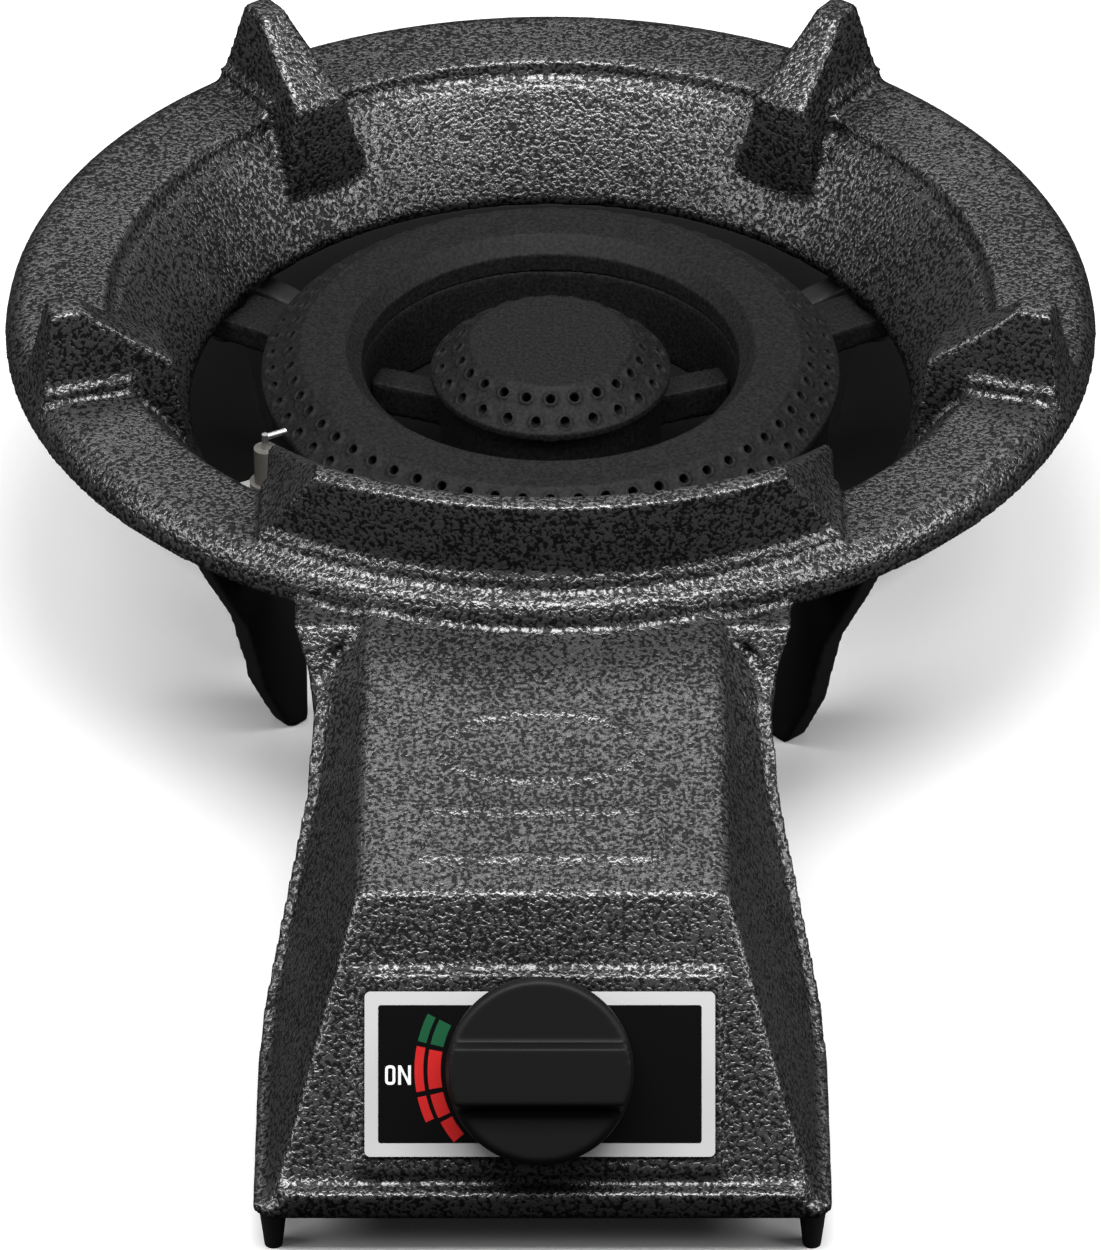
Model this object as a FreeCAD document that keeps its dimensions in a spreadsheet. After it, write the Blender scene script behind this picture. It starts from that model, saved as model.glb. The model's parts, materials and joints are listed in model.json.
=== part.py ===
"""Single-burner gas stove: a cast iron top on legs, a two-ring burner and a turn-and-push gas tap.

Millimetres, +Z up, +Y to the back. The origin is the middle of the footprint, on the ground.
Outlines are drawn about the burner's own axis, and each finished piece is then moved by axis_y.
"""
import FreeCAD, Part
import math
import os
import Sketcher

SIZES = {
    # Dish: the round top of the casting, turned about the burner axis
    "rim_radius": 167.0,
    "rim_height": 112.0,
    "rim_round": 7.0,
    "rim_round_drop": 9.5,
    "skirt_drop": 11.0,
    "casting_wall": 5.0,
    "rim_width": 31.0,
    "rim_fall": 1.0,
    "step_width": 1.2,
    "step_depth": 5.0,
    "groove_width": 4.5,
    "groove_depth": 6.5,
    "cone_width": 25.0,
    "opening_depth": 37.0,
    # Claws that carry the pot, and the wide one in front
    "claw_height": 26.5,
    "claw_heel": 8.5,
    "claw_step_inset": 4.5,
    "claw_step_height": 4.0,
    "claw_land": 10.5,
    "claw_shoulder": 5.0,
    "claw_nose_inset": 14.0,
    "claw_nose_height": 6.0,
    "claw_nose_lean": 2.5,
    "claw_top_width": 9.0,
    "claw_base_width": 20.5,
    "claw_foot_width": 23.0,
    "claw_foot_height": 3.5,
    "claw_rear_azimuth": 54.0,
    "claw_side_azimuth": 18.0,
    "shield_inset": 10.5,
    "shield_lean": 2.5,
    "shield_foot_half": 84.0,
    "shield_top_half": 69.0,
    "shield_foot_proud": 2.0,
    # Front housing: deck, panel, side walls and the flange along their lower edge
    "neck_inset": 31.0,
    "arch_start_inset": 7.0,
    "arch_end_inset": 13.0,
    "deck_length": 108.0,
    "panel_run": 49.0,
    "lip_depth": 5.0,
    "lip_corner": 4.0,
    "deck_rear_drop": 8.0,
    "deck_fall": 14.0,
    "deck_half_width": 54.0,
    "housing_shift": 2.2,
    "deck_edge_round": 4.0,
    "panel_foot_rise": 9.0,
    "lip_edge_round": 1.6,
    "arch_start_drop": 8.0,
    "arch_end_rise": 3.5,
    "lip_bottom_height": 14.8,
    "flange_neck_outset": 11.0,
    "flange_root_outset": 19.0,
    "flange_front_outset": 28.0,
    "flange_foot_width": 6.5,
    "flange_width": 3.5,
    "flange_thickness": 3.5,
    "gusset_outset": 8.0,
    "gusset_inset": 13.0,
    "gusset_drop": 22.0,
    "gusset_front_inset": 4.0,
    "gusset_depth": 15.0,
    "gusset_slope_run": 18.0,
    "relief_height": 0.9,
    "relief_line": 1.7,
    "oval_inset": 60.0,
    "oval_half_width": 30.0,
    "oval_half_depth": 15.0,
    "frame_inset": 24.0,
    "frame_width": 68.0,
    "frame_depth": 21.0,
    # Raised pad, bezel, dial face and knob, all square to the sloping panel
    "panel_x": -3.0,
    "bezel_down": 50.0,
    "bezel_drop": 1.2,
    "pad_side_margin": 2.0,
    "pad_end_margin": 5.2,
    "pad_proud": 2.0,
    "bezel_width": 99.0,
    "bezel_depth": 46.6,
    "bezel_thickness": 1.2,
    "bezel_border": 3.8,
    "bezel_corner": 1.6,
    "dial_corner": 0.8,
    "dial_thickness": 0.5,
    "dial_gap": 0.1,
    "stem_hole_radius": 9.0,
    "knob_gap": 4.5,
    "knob_radius": 26.5,
    "knob_disc_height": 10.0,
    "knob_edge": 1.5,
    "knob_grip_width": 16.0,
    "knob_grip_flare": 2.0,
    "knob_grip_drop": 1.5,
    "knob_grip_height": 6.0,
    "knob_grip_inset": 0.8,
    "insert_radius": 6.5,
    "insert_depth": 9.0,
    # Gas tap: stem, plug, body, bracket, trip plate and igniter
    "stem_radius": 4.0,
    "running_gap": 0.05,
    "stem_collar_radius": 5.5,
    "stem_collar_height": 1.8,
    "stem_into_knob": 8.0,
    "push_travel": 3.5,
    "trip_gap": 0.3,
    "trip_thickness": 1.5,
    "trip_width": 12.0,
    "trip_right": 9.0,
    "trip_left": 43.0,
    "spring_wire": 0.7,
    "spring_radius": 5.4,
    "boss_length": 15.0,
    "boss_radius": 5.0,
    "bracket_thickness": 2.0,
    "bracket_right": 30.0,
    "bracket_left": 46.0,
    "bracket_up": 10.0,
    "bracket_down": 20.0,
    "bracket_hole_x": 22.0,
    "bracket_left_hole_x": 20.0,
    "bracket_left_hole_down": 14.0,
    "tap_neck_radius": 7.0,
    "tap_neck_length": 9.0,
    "barrel_radius": 12.0,
    "barrel_length": 18.0,
    "barrel_wall": 2.0,
    "barrel_bore": 8.0,
    "plug_length": 7.5,
    "plug_slot_width": 3.3,
    "plug_slot_depth": 7.0,
    "plug_end_gap": 0.5,
    "tongue_thickness": 3.0,
    "tongue_width": 7.0,
    "clip_radius": 6.4,
    "clip_thickness": 1.0,
    "clip_gap": 0.4,
    "port_radius": 7.0,
    "port_inward": 10.5,
    "port_length": 25.0,
    "port_bore": 3.0,
    "screw_radius": 2.0,
    "screw_head_radius": 4.0,
    "screw_head_height": 2.4,
    "screw_grip": 9.0,
    "igniter_x": 36.0,
    "igniter_radius": 7.0,
    "igniter_length": 24.0,
    "igniter_tail_radius": 2.6,
    "igniter_tail_length": 3.0,
    "plunger_radius": 3.0,
    "plunger_inside": 8.0,
    # Gas way: manifold, nozzles, elbow and hose nipple
    "manifold_outset": 2.0,
    "manifold_depth": 18.0,
    "manifold_height": 16.0,
    "manifold_margin": 9.0,
    "tube_drop": 10.0,
    "tube_spacing": 34.0,
    "nozzle_thread_radius": 4.0,
    "nozzle_thread_length": 6.0,
    "nozzle_hex_radius": 6.5,
    "nozzle_hex_length": 6.0,
    "nozzle_nose_radius": 3.6,
    "nozzle_tip_radius": 2.2,
    "nozzle_nose_length": 10.0,
    "nozzle_jet_radius": 0.6,
    "elbow_radius": 8.0,
    "elbow_length": 17.0,
    "nipple_hex_radius": 8.5,
    "nipple_hex_length": 8.0,
    "nipple_radius": 4.75,
    "nipple_length": 30.0,
    "nipple_bore": 2.5,
    "nipple_groove_depth": 0.6,
    "nipple_groove_width": 1.0,
    "nipple_groove_pitch": 5.0,
    "seal_thickness": 1.5,
    # Burner casting: two mixing tubes, the outer trough, the inner cup, arms and lugs
    "mouth_radius": 15.0,
    "mouth_thickness": 4.0,
    "nozzle_to_hub": 2.0,
    "hub_radius": 6.5,
    "hub_bore": 4.6,
    "hub_length": 5.0,
    "air_hole_radius": 3.2,
    "air_hole_circle": 10.4,
    "air_hole_azimuth": 45.0,
    "shutter_thickness": 1.4,
    "shutter_gap": 0.4,
    "shutter_tab_width": 6.0,
    "shutter_tab_length": 7.0,
    "shutter_clip_radius": 8.6,
    "shutter_clip_thickness": 1.2,
    "tube_radius": 13.0,
    "tube_bore": 9.5,
    "bell_length": 27.0,
    "burner_height": 26.0,
    "burner_seat_rise": 12.0,
    "burner_wall": 4.0,
    "trough_outer_radius": 86.0,
    "trough_inner_radius": 58.0,
    "cup_radius": 34.0,
    "arm_width": 10.0,
    "arm_height": 11.0,
    "arm_rise": 2.0,
    "arm_azimuth": 20.0,
    "lug_drop": 5.0,
    "lug_thickness": 8.0,
    "lug_width": 18.0,
    "lug_bolt_outset": 7.0,
    "lug_boss_radius": 7.0,
    "lug_azimuth": 30.0,
    "bolt_radius": 3.0,
    "bolt_head_radius": 5.0,
    "bolt_head_height": 4.0,
    "bolt_into": 6.0,
    # Burner caps with their flame ports
    "cap_height": 11.0,
    "cap_overhang": 3.0,
    "cap_edge_height": 2.5,
    "cap_slope": 12.0,
    "cap_inner_lean": 5.0,
    "cap_cavity_height": 6.0,
    "cap_skirt_depth": 4.0,
    "cap_skirt_thickness": 4.0,
    "cap_seat_gap": 0.5,
    "port_hole_radius": 1.4,
    "port_rim_radius": 2.3,
    "port_rim_height": 0.6,
    "inner_cap_rise": 1.5,
    # Spark electrode, its bracket and wire
    "electrode_azimuth": 208.0,
    "electrode_outset": 12.0,
    "electrode_rod_radius": 1.0,
    "ceramic_radius": 3.5,
    "ceramic_collar_radius": 5.0,
    "ceramic_collar_height": 2.5,
    "ceramic_below": 9.0,
    "ceramic_above": 16.0,
    "electrode_above": 21.0,
    "electrode_below": 14.0,
    "electrode_reach": 7.0,
    "electrode_shelf_width": 12.0,
    "electrode_shelf_thickness": 4.0,
    "electrode_shelf_length": 8.0,
    "electrode_plate_thickness": 1.5,
    "electrode_plate_margin": 6.0,
    "small_screw_radius": 1.5,
    "small_screw_head": 3.0,
    "small_screw_head_height": 2.0,
    "wire_radius": 1.25,
    "wire_lead_length": 9.0,
    "wire_turn_x": 43.0,
    "wire_turn_reach": 222.0,
    "wire_turn_height": 22.0,
    "wire_run_x": 48.0,
    "wire_run_front_reach": 160.0,
    "wire_run_back_reach": 96.0,
    "wire_run_height": 44.0,
    "wire_bend_x": 62.0,
    "wire_bend_reach": 52.0,
    "wire_bend_height": 38.0,
    "wire_rise": 20.0,
    "clip_block_width": 8.0,
    "clip_block_height": 8.0,
    "clip_reach": 122.0,
    # Legs under the dish and the two small feet in front
    "leg_azimuth": 40.0,
    "front_right_leg_turn": 6.0,
    "leg_thickness": 9.0,
    "leg_top_drop": 27.0,
    "leg_flange_thickness": 5.0,
    "leg_flange_width": 36.0,
    "leg_inset": 26.0,
    "leg_run": 33.0,
    "leg_tip_width": 8.0,
    "leg_flange_length": 17.0,
    "leg_shoulder_drop": 19.0,
    "leg_shoulder_width": 19.0,
    "leg_notch_height": 30.0,
    "leg_notch_depth": 3.0,
    "leg_bolt_spacing": 23.0,
    "leg_bolt_inset": 8.5,
    "leg_bolt_radius": 2.5,
    "leg_bolt_head_radius": 4.5,
    "leg_bolt_head_height": 3.5,
    "foot_side_inset": 5.5,
    "foot_inset": 3.0,
    "foot_top_radius": 4.2,
    "foot_tip_radius": 2.6,
    "foot_stud_radius": 2.0,
    "foot_stud_length": 3.5,
    # One overrun for every cut
    "overrun": 4.0,
}

# Shares of a quarter round, of the arch under the housing (reach, drop, flare) and of a leg's outer edge
ROUND_SHARES = ((0.0, 1.0), (0.134, 0.5), (0.5, 0.134), (1.0, 0.0))
ARCH_SHARES = ((0.0, 0.0, 0.0), (0.2, 0.12, 0.1), (0.4, 0.37, 0.24),
               (0.64, 0.67, 0.62), (0.83, 0.89, 0.9), (1.0, 1.0, 1.0))
LEG_EDGE_SHARES = ((0.78, 0.76), (0.47, 0.53), (0.32, 0.3), (0.29, 0.23))
# Shares of the casting's wall at a boss's root, of an edge round at its corner, of a cap's slope
# and of a wire's run
BOSS_ROOT_SHARE = 0.6
CORNER_SHARE = 0.3
PORT_ROW_SHARES = (0.27, 0.75)
ARC_RUN_SHARE = 0.45
CLAW_SIDES = ("rear_right", "rear_left", "side_left", "side_right")
OUTER_PORTS = 60
INNER_PORTS = 24
NIPPLE_GROOVES = 4
AIR_HOLES = 4

doc = FreeCAD.newDocument("GasStove")
sheet = doc.addObject("Spreadsheet::Sheet", "Sizes")


class Size:
    """A length with the expression that gives it from the sheet."""

    def __init__(self, value, text):
        self.value = value
        self.text = text

    def __add__(self, other):
        other = as_size(other)
        return Size(self.value + other.value, "(" + self.text + " + " + other.text + ")")

    def __sub__(self, other):
        other = as_size(other)
        return Size(self.value - other.value, "(" + self.text + " - " + other.text + ")")

    def __mul__(self, other):
        other = as_size(other)
        return Size(self.value * other.value, self.text + " * " + other.text)

    def __truediv__(self, other):
        other = as_size(other)
        return Size(self.value / other.value, self.text + " / (" + other.text + ")")

    def __neg__(self):
        return Size(-self.value, "(0 - " + self.text + ")")

    def __float__(self):
        return float(self.value)


def as_size(value):
    if isinstance(value, Size):
        return value
    if value < 0:
        return Size(value, "(0 - " + repr(abs(value)) + ")")
    return Size(value, repr(value))


def sine(angle):
    return Size(math.sin(math.radians(angle.value)), "sin(" + angle.text + ")")


def cosine(angle):
    return Size(math.cos(math.radians(angle.value)), "cos(" + angle.text + ")")


def slope_angle(rise, run):
    text = "atan((" + rise.text + ") / (" + run.text + "))"
    return Size(math.degrees(math.atan2(rise.value, run.value)), text)


class Named:
    """The sheet's sizes by name."""


def fill_sheet():
    named = Named()
    for row, (alias, value) in enumerate(SIZES.items(), start=1):
        sheet.set("A" + str(row), alias.replace("_", " "))
        sheet.set("B" + str(row), str(value))
        sheet.setAlias("B" + str(row), alias)
    doc.recompute()
    for alias in SIZES:
        setattr(named, alias, Size(float(sheet.get(alias)), "Sizes." + alias))
    return named


z = fill_sheet()
ZERO = Size(0.0, "0")
QUARTER_TURN = Size(90.0, "90")
HALF_TURN = Size(180.0, "180")

# Places of the casting, worked out from the sizes
rim_inner_radius = z.rim_radius - z.rim_width
opening_radius = rim_inner_radius - z.cone_width
opening_height = z.rim_height - z.opening_depth
skirt_height = z.rim_height - z.skirt_drop
groove_radius = rim_inner_radius - z.groove_width
groove_height = z.rim_height - z.rim_fall - z.groove_depth
cone_run = groove_radius - opening_radius
cone_fall = groove_height - opening_height
cone_slope = slope_angle(cone_fall, cone_run)
wall_out = z.casting_wall * sine(cone_slope)
wall_down = z.casting_wall * cosine(cone_slope)
shield_radius = z.rim_radius - z.shield_inset
neck_reach = z.rim_radius - z.neck_inset
arch_start_reach = z.rim_radius - z.arch_start_inset
gusset_reach = z.rim_radius - z.gusset_front_inset
deck_reach = z.rim_radius + z.deck_length
arch_end_reach = deck_reach - z.arch_end_inset
panel_foot_reach = deck_reach + z.panel_run
lip_reach = panel_foot_reach + z.lip_depth
deck_rear_height = z.rim_height - z.deck_rear_drop
deck_front_height = deck_rear_height - z.deck_fall
panel_foot_height = z.lip_bottom_height + z.panel_foot_rise
arch_start_height = skirt_height - z.arch_start_drop
arch_end_height = z.lip_bottom_height + z.arch_end_rise
flange_root_half = z.deck_half_width + z.flange_root_outset
flange_neck_half = z.deck_half_width + z.flange_neck_outset
flange_front_half = z.deck_half_width + z.flange_front_outset
panel_foot_half = flange_front_half - z.flange_foot_width

# Places on the sloping panel and behind it
panel_tilt = slope_angle(deck_front_height - panel_foot_height, z.panel_run)
dial_reach = deck_reach + z.bezel_down * cosine(panel_tilt)
dial_height = deck_front_height - z.bezel_down * sine(panel_tilt)
bezel_top = z.pad_proud + z.bezel_thickness
knob_bottom = bezel_top + z.knob_gap
knob_top = knob_bottom + z.knob_disc_height + z.knob_grip_height
disc_reach = (dial_reach + (knob_top - z.knob_grip_height) * sine(panel_tilt)
              + (z.knob_radius - z.knob_edge) * cosine(panel_tilt))
axis_y = (disc_reach - z.rim_radius) / 2
boss_end = z.casting_wall + z.boss_length
tap_front = boss_end + z.bracket_thickness
barrel_end = tap_front + z.barrel_length
outer_tube_x = z.panel_x + z.tube_spacing / 2
inner_tube_x = z.panel_x - z.tube_spacing / 2
manifold_reach = deck_reach + z.manifold_outset
manifold_rear = manifold_reach - z.manifold_depth
nozzle_tip_reach = manifold_rear - z.nozzle_hex_length - z.nozzle_nose_length
hub_end_reach = nozzle_tip_reach - z.nozzle_to_hub
mouth_reach = hub_end_reach - z.hub_length

# Places of the burner, its electrode and the legs
lug_height = opening_height - z.lug_drop
lug_bolt_radius = opening_radius + z.lug_bolt_outset
burner_seat_height = lug_height + z.burner_seat_rise
burner_floor_height = burner_seat_height - z.burner_height
tube_height = burner_floor_height - z.tube_drop
electrode_circle = z.trough_outer_radius + z.electrode_outset
electrode_bottom = lug_height - z.electrode_below
leg_top_height = z.rim_height - z.leg_top_drop
leg_outer_radius = z.rim_radius - z.leg_inset
leg_tip_radius = leg_outer_radius - z.leg_run
leg_inner_radius = leg_tip_radius - z.leg_tip_width
leg_top_inner_radius = leg_outer_radius - z.leg_flange_length
leg_bolt_circle = leg_outer_radius - z.leg_bolt_inset
foot_x = flange_front_half - z.foot_side_inset
foot_reach = panel_foot_reach - z.foot_inset


def bind(item, path, size):
    """Tie one property of an object to the sheet."""
    size = as_size(size)
    item.setExpression(path, size.text)


def outline(sketch, points):
    """Straight lines round the points, each corner held by its two sizes."""
    count = len(points)
    points = [(as_size(across), as_size(up)) for across, up in points]
    for index in range(count):
        start = points[index]
        end = points[(index + 1) % count]
        sketch.addGeometry(Part.LineSegment(FreeCAD.Vector(start[0].value, start[1].value, 0),
                                            FreeCAD.Vector(end[0].value, end[1].value, 0)), False)
    for index in range(count):
        sketch.addConstraint(Sketcher.Constraint("Coincident", index, 2, (index + 1) % count, 1))
    for index, (across, up) in enumerate(points):
        hold(sketch, index, "DistanceX", -2, across)
        hold(sketch, index, "DistanceY", -1, up)


def hold(sketch, index, kind, axis, size):
    if size.text == "0":
        sketch.addConstraint(Sketcher.Constraint("PointOnObject", index, 1, axis))
        return
    number = sketch.addConstraint(Sketcher.Constraint(kind, -1, 1, index, 1, size.value))
    sketch.setExpression("Constraints[" + str(number) + "]", size.text)


def body_outline(name, plane_role, points):
    """A body with a sketch on one of its own planes."""
    body = doc.addObject("PartDesign::Body", name)
    plane = [feature for feature in body.Origin.OriginFeatures if feature.Role == plane_role][0]
    sketch = body.newObject("Sketcher::SketchObject", name + "Outline")
    sketch.AttachmentSupport = (plane, [""])
    sketch.MapMode = "FlatFace"
    outline(sketch, points)
    return body, sketch


def turned(name, points):
    """A body turned about the vertical from (radius, height) points."""
    body, sketch = body_outline(name, "XZ_Plane", points)
    turn = body.newObject("PartDesign::Revolution", name + "Turn")
    turn.Profile = sketch
    turn.ReferenceAxis = (sketch, ["V_Axis"])
    turn.Angle = 360
    return body


def prism(name, plane_role, points, length):
    """A body of one outline, padded evenly to both sides of its plane."""
    body, sketch = body_outline(name, plane_role, points)
    pad = body.newObject("PartDesign::Pad", name + "Pad")
    pad.Profile = sketch
    pad.SideType = "Symmetric"
    bind(pad, "Length", length)
    return body


TURNS = {"up": FreeCAD.Rotation(), "back": FreeCAD.Rotation(FreeCAD.Vector(1, 0, 0), -90),
         "front": FreeCAD.Rotation(FreeCAD.Vector(1, 0, 0), 90),
         "right": FreeCAD.Rotation(FreeCAD.Vector(0, 1, 0), 90)}


def put(item, x=ZERO, y=ZERO, up=ZERO, way="up"):
    """Place an object, its own Z turned to the given way."""
    item.Placement = FreeCAD.Placement(FreeCAD.Vector(float(x), float(y), float(up)), TURNS[way])
    bind(item, "Placement.Base.x", x)
    bind(item, "Placement.Base.y", y)
    bind(item, "Placement.Base.z", up)
    return item


def spin(item, azimuth, y=ZERO):
    """Turn an object about the burner axis to an azimuth."""
    item.Placement = FreeCAD.Placement(FreeCAD.Vector(0, float(y), 0),
                                       FreeCAD.Rotation(FreeCAD.Vector(0, 0, 1), float(azimuth)))
    bind(item, "Placement.Rotation.Angle", azimuth)
    bind(item, "Placement.Base.y", y)
    return item


def cylinder(name, radius, length, x=ZERO, y=ZERO, up=ZERO, way="up"):
    item = doc.addObject("Part::Cylinder", name)
    bind(item, "Radius", radius)
    bind(item, "Height", length)
    return put(item, x, y, up, way)


def cone(name, radius, end_radius, length, x=ZERO, y=ZERO, up=ZERO, way="up"):
    item = doc.addObject("Part::Cone", name)
    bind(item, "Radius1", radius)
    bind(item, "Radius2", end_radius)
    bind(item, "Height", length)
    return put(item, x, y, up, way)


def box(name, width, depth, height, x=ZERO, y=ZERO, up=ZERO):
    """A block centred on x and y, standing on up."""
    item = doc.addObject("Part::Box", name)
    bind(item, "Length", width)
    bind(item, "Width", depth)
    bind(item, "Height", height)
    return put(item, x - as_size(width) / 2, y - as_size(depth) / 2, up)


def fuse(name, shapes):
    item = doc.addObject("Part::MultiFuse", name)
    item.Shapes = shapes
    item.Refine = False
    return item


def group(name, items):
    """Several shapes kept side by side as one object."""
    item = doc.addObject("Part::Compound", name)
    item.Links = items
    return item


def cut(name, base, tools):
    tool = tools[0] if len(tools) == 1 else fuse(name + "Tools", tools)
    item = doc.addObject("Part::Cut", name)
    item.Base = base
    item.Tool = tool
    return item


def common(name, first, second):
    item = doc.addObject("Part::Common", name)
    item.Base = first
    item.Tool = second
    return item


def loft(name, sections):
    """A ruled loft through (reach, outline) sections that stand square to Y."""
    sketches = []
    for index, (reach, points) in enumerate(sections):
        sketch = doc.addObject("Sketcher::SketchObject", name + "Section" + str(index))
        outline(sketch, points)
        put(sketch, y=-as_size(reach), way="front")
        sketches.append(sketch)
    item = doc.addObject("Part::Loft", name)
    item.Sections = sketches
    item.Solid = True
    item.Ruled = True
    return item


FINISHED = []


def finish(item, label, on_panel=False):
    """Give a finished piece its label and its place in the stove's frame."""
    item.Label = label
    if on_panel:
        on_panel_plane(item, axis_y)
    else:
        bind(item, "Placement.Base.y", axis_y)
    FINISHED.append(item)
    return item


def on_panel_plane(item, y=ZERO):
    """Stand an object on the panel: X across, Y up the slope, Z straight out of it."""
    item.Placement = FreeCAD.Placement(FreeCAD.Vector(0, 0, 0), FreeCAD.Rotation(FreeCAD.Vector(1, 0, 0),
                                                                                  float(panel_tilt)))
    bind(item, "Placement.Base.x", z.panel_x)
    bind(item, "Placement.Base.y", y - dial_reach)
    bind(item, "Placement.Base.z", dial_height)
    bind(item, "Placement.Rotation.Angle", panel_tilt)
    return item


def feature(name, label, shape):
    """A piece whose shape has no feature of its own, made from the sheet's sizes."""
    item = doc.addObject("Part::Feature", name)
    item.Shape = shape
    item.Label = label
    item.Placement = FreeCAD.Placement(FreeCAD.Vector(0, float(axis_y), 0), FreeCAD.Rotation())
    FINISHED.append(item)
    return item


def rim_rounds():
    points = []
    for inward, down in ROUND_SHARES:
        points.append((z.rim_radius - z.rim_round * inward, z.rim_height - z.rim_round_drop * down))
    return points


def dish():
    """Skirt, rim, groove and cone down to the opening, and the same wall back on the underside."""
    top = [(z.rim_radius, skirt_height)] + rim_rounds() + [
        (rim_inner_radius, z.rim_height - z.rim_fall),
        (rim_inner_radius - z.step_width, z.rim_height - z.rim_fall - z.step_depth),
        (groove_radius, groove_height),
        (opening_radius, opening_height)]
    under = [
        (opening_radius, opening_height - wall_down),
        (opening_radius + wall_out, opening_height - wall_down),
        (groove_radius + wall_out, groove_height - wall_down),
        (rim_inner_radius + wall_out, z.rim_height - z.rim_fall - z.casting_wall),
        (z.rim_radius - z.casting_wall - z.rim_round / 2, z.rim_height - z.casting_wall),
        (z.rim_radius - z.casting_wall, z.rim_height - z.casting_wall - z.rim_round / 2),
        (z.rim_radius - z.casting_wall, skirt_height)]
    return turned("Dish", top + under)


def under_dish():
    """The space below the middle of the dish's wall, which trims what is cast under it."""
    mid_out = wall_out / 2
    mid_down = wall_down / 2
    return turned("UnderDish", [
        (z.cup_radius, burner_floor_height),
        (z.rim_radius - z.casting_wall / 2, burner_floor_height),
        (z.rim_radius - z.casting_wall / 2, z.rim_height - z.casting_wall * BOSS_ROOT_SHARE),
        (rim_inner_radius + mid_out, z.rim_height - z.casting_wall * BOSS_ROOT_SHARE),
        (groove_radius + mid_out, groove_height - mid_down),
        (opening_radius + mid_out, opening_height - mid_down),
        (z.cup_radius, opening_height - mid_down)])


def claw_ridge():
    """The part of a claw's outline that stands over the rim, from its land down to the cone."""
    land_end = z.rim_radius - z.claw_heel - z.claw_land
    nose = (rim_inner_radius - z.claw_nose_inset)
    tip_radius = nose - z.claw_nose_lean
    tip_height = opening_height + (tip_radius - opening_radius) * cone_fall / cone_run
    return [
        (land_end, z.rim_height + z.claw_height),
        (land_end - z.claw_shoulder, z.rim_height + z.claw_height - z.claw_shoulder),
        (nose, z.rim_height + z.claw_nose_height),
        (tip_radius, tip_height + z.rim_fall),
        (nose + wall_out / 4, tip_height - wall_down / 4),
        (groove_radius + wall_out / 4, groove_height - wall_down / 3)]


def claws():
    """Four radial claws with drafted sides, each on a low foot that steps out on the rim."""
    top = z.rim_height + z.claw_height
    ridge = [
        (z.rim_radius - z.casting_wall / 2, skirt_height + z.rim_fall),
        (z.rim_radius - z.rim_fall / 2, z.rim_height - z.rim_round),
        (z.rim_radius - z.claw_step_inset, z.rim_height + z.claw_step_height),
        (z.rim_radius - z.claw_heel, top)] + claw_ridge() + [
        (z.rim_radius - z.rim_round, z.rim_height - z.casting_wall / 2)]
    draft = (z.claw_base_width - z.claw_top_width) / 2 / z.claw_height
    bottom = opening_height - z.casting_wall
    wide = z.claw_top_width / 2 + draft * (top - bottom)
    azimuths = {
        "rear_right": z.claw_rear_azimuth, "rear_left": HALF_TURN - z.claw_rear_azimuth,
        "side_left": HALF_TURN + z.claw_side_azimuth, "side_right": -z.claw_side_azimuth}
    made = []
    for side in CLAW_SIDES:
        tag = "Claw" + side.title().replace("_", "")
        fin = prism(tag + "Fin", "XZ_Plane", ridge, wide * 2)
        flanks = prism(tag + "Flanks", "YZ_Plane", [
            (-wide, bottom), (wide, bottom), (z.claw_top_width / 2, top), (-z.claw_top_width / 2, top)],
            z.rim_radius * 2)
        foot_length = z.rim_radius - z.claw_step_inset - rim_inner_radius
        foot = box(tag + "Foot", foot_length, z.claw_foot_width, z.claw_foot_height + z.casting_wall / 2,
                   rim_inner_radius + foot_length / 2, ZERO, z.rim_height - z.casting_wall / 2)
        claw = fuse(tag, [common(tag + "Blade", fin, flanks), foot])
        made.append(spin(claw, azimuths[side]))
    return made


def shield():
    """The wide front claw, turned with the rim and cut to its leaning ends."""
    top = z.rim_height + z.claw_height
    step = z.rim_height + z.claw_foot_height
    ring = turned("ShieldRing", [
        (shield_radius, step), (shield_radius - z.shield_lean, top)] + claw_ridge() + [
        (shield_radius, z.rim_height - z.casting_wall / 2)])
    ends = prism("ShieldEnds", "XZ_Plane", [
        (-z.shield_foot_half, opening_height - z.casting_wall),
        (z.shield_foot_half, opening_height - z.casting_wall), (z.shield_foot_half, step),
        (z.shield_top_half, top), (-z.shield_top_half, top),
        (-z.shield_foot_half, step)], z.rim_radius * 2)
    front = box("ShieldFront", z.rim_radius * 2, z.rim_radius, z.rim_height * 2, ZERO, -z.rim_radius / 2)
    blade = common("ShieldBlade", common("ShieldTrimmed", ring, ends), front)
    foot_ring = turned("ShieldFootRing", [
        (rim_inner_radius, z.rim_height - z.casting_wall / 2),
        (shield_radius + z.shield_foot_proud, z.rim_height - z.casting_wall / 2),
        (shield_radius + z.shield_foot_proud, step), (rim_inner_radius, step)])
    foot_block = box("ShieldFootBlock", (z.shield_foot_half + z.shield_foot_proud) * 2, z.rim_radius,
                     z.rim_height * 2, ZERO, -z.rim_radius / 2)
    return [blade, common("ShieldFoot", foot_ring, foot_block)]


def deck_height(reach):
    return deck_rear_height - z.deck_fall * ((reach - z.rim_radius) / z.deck_length)


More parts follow.
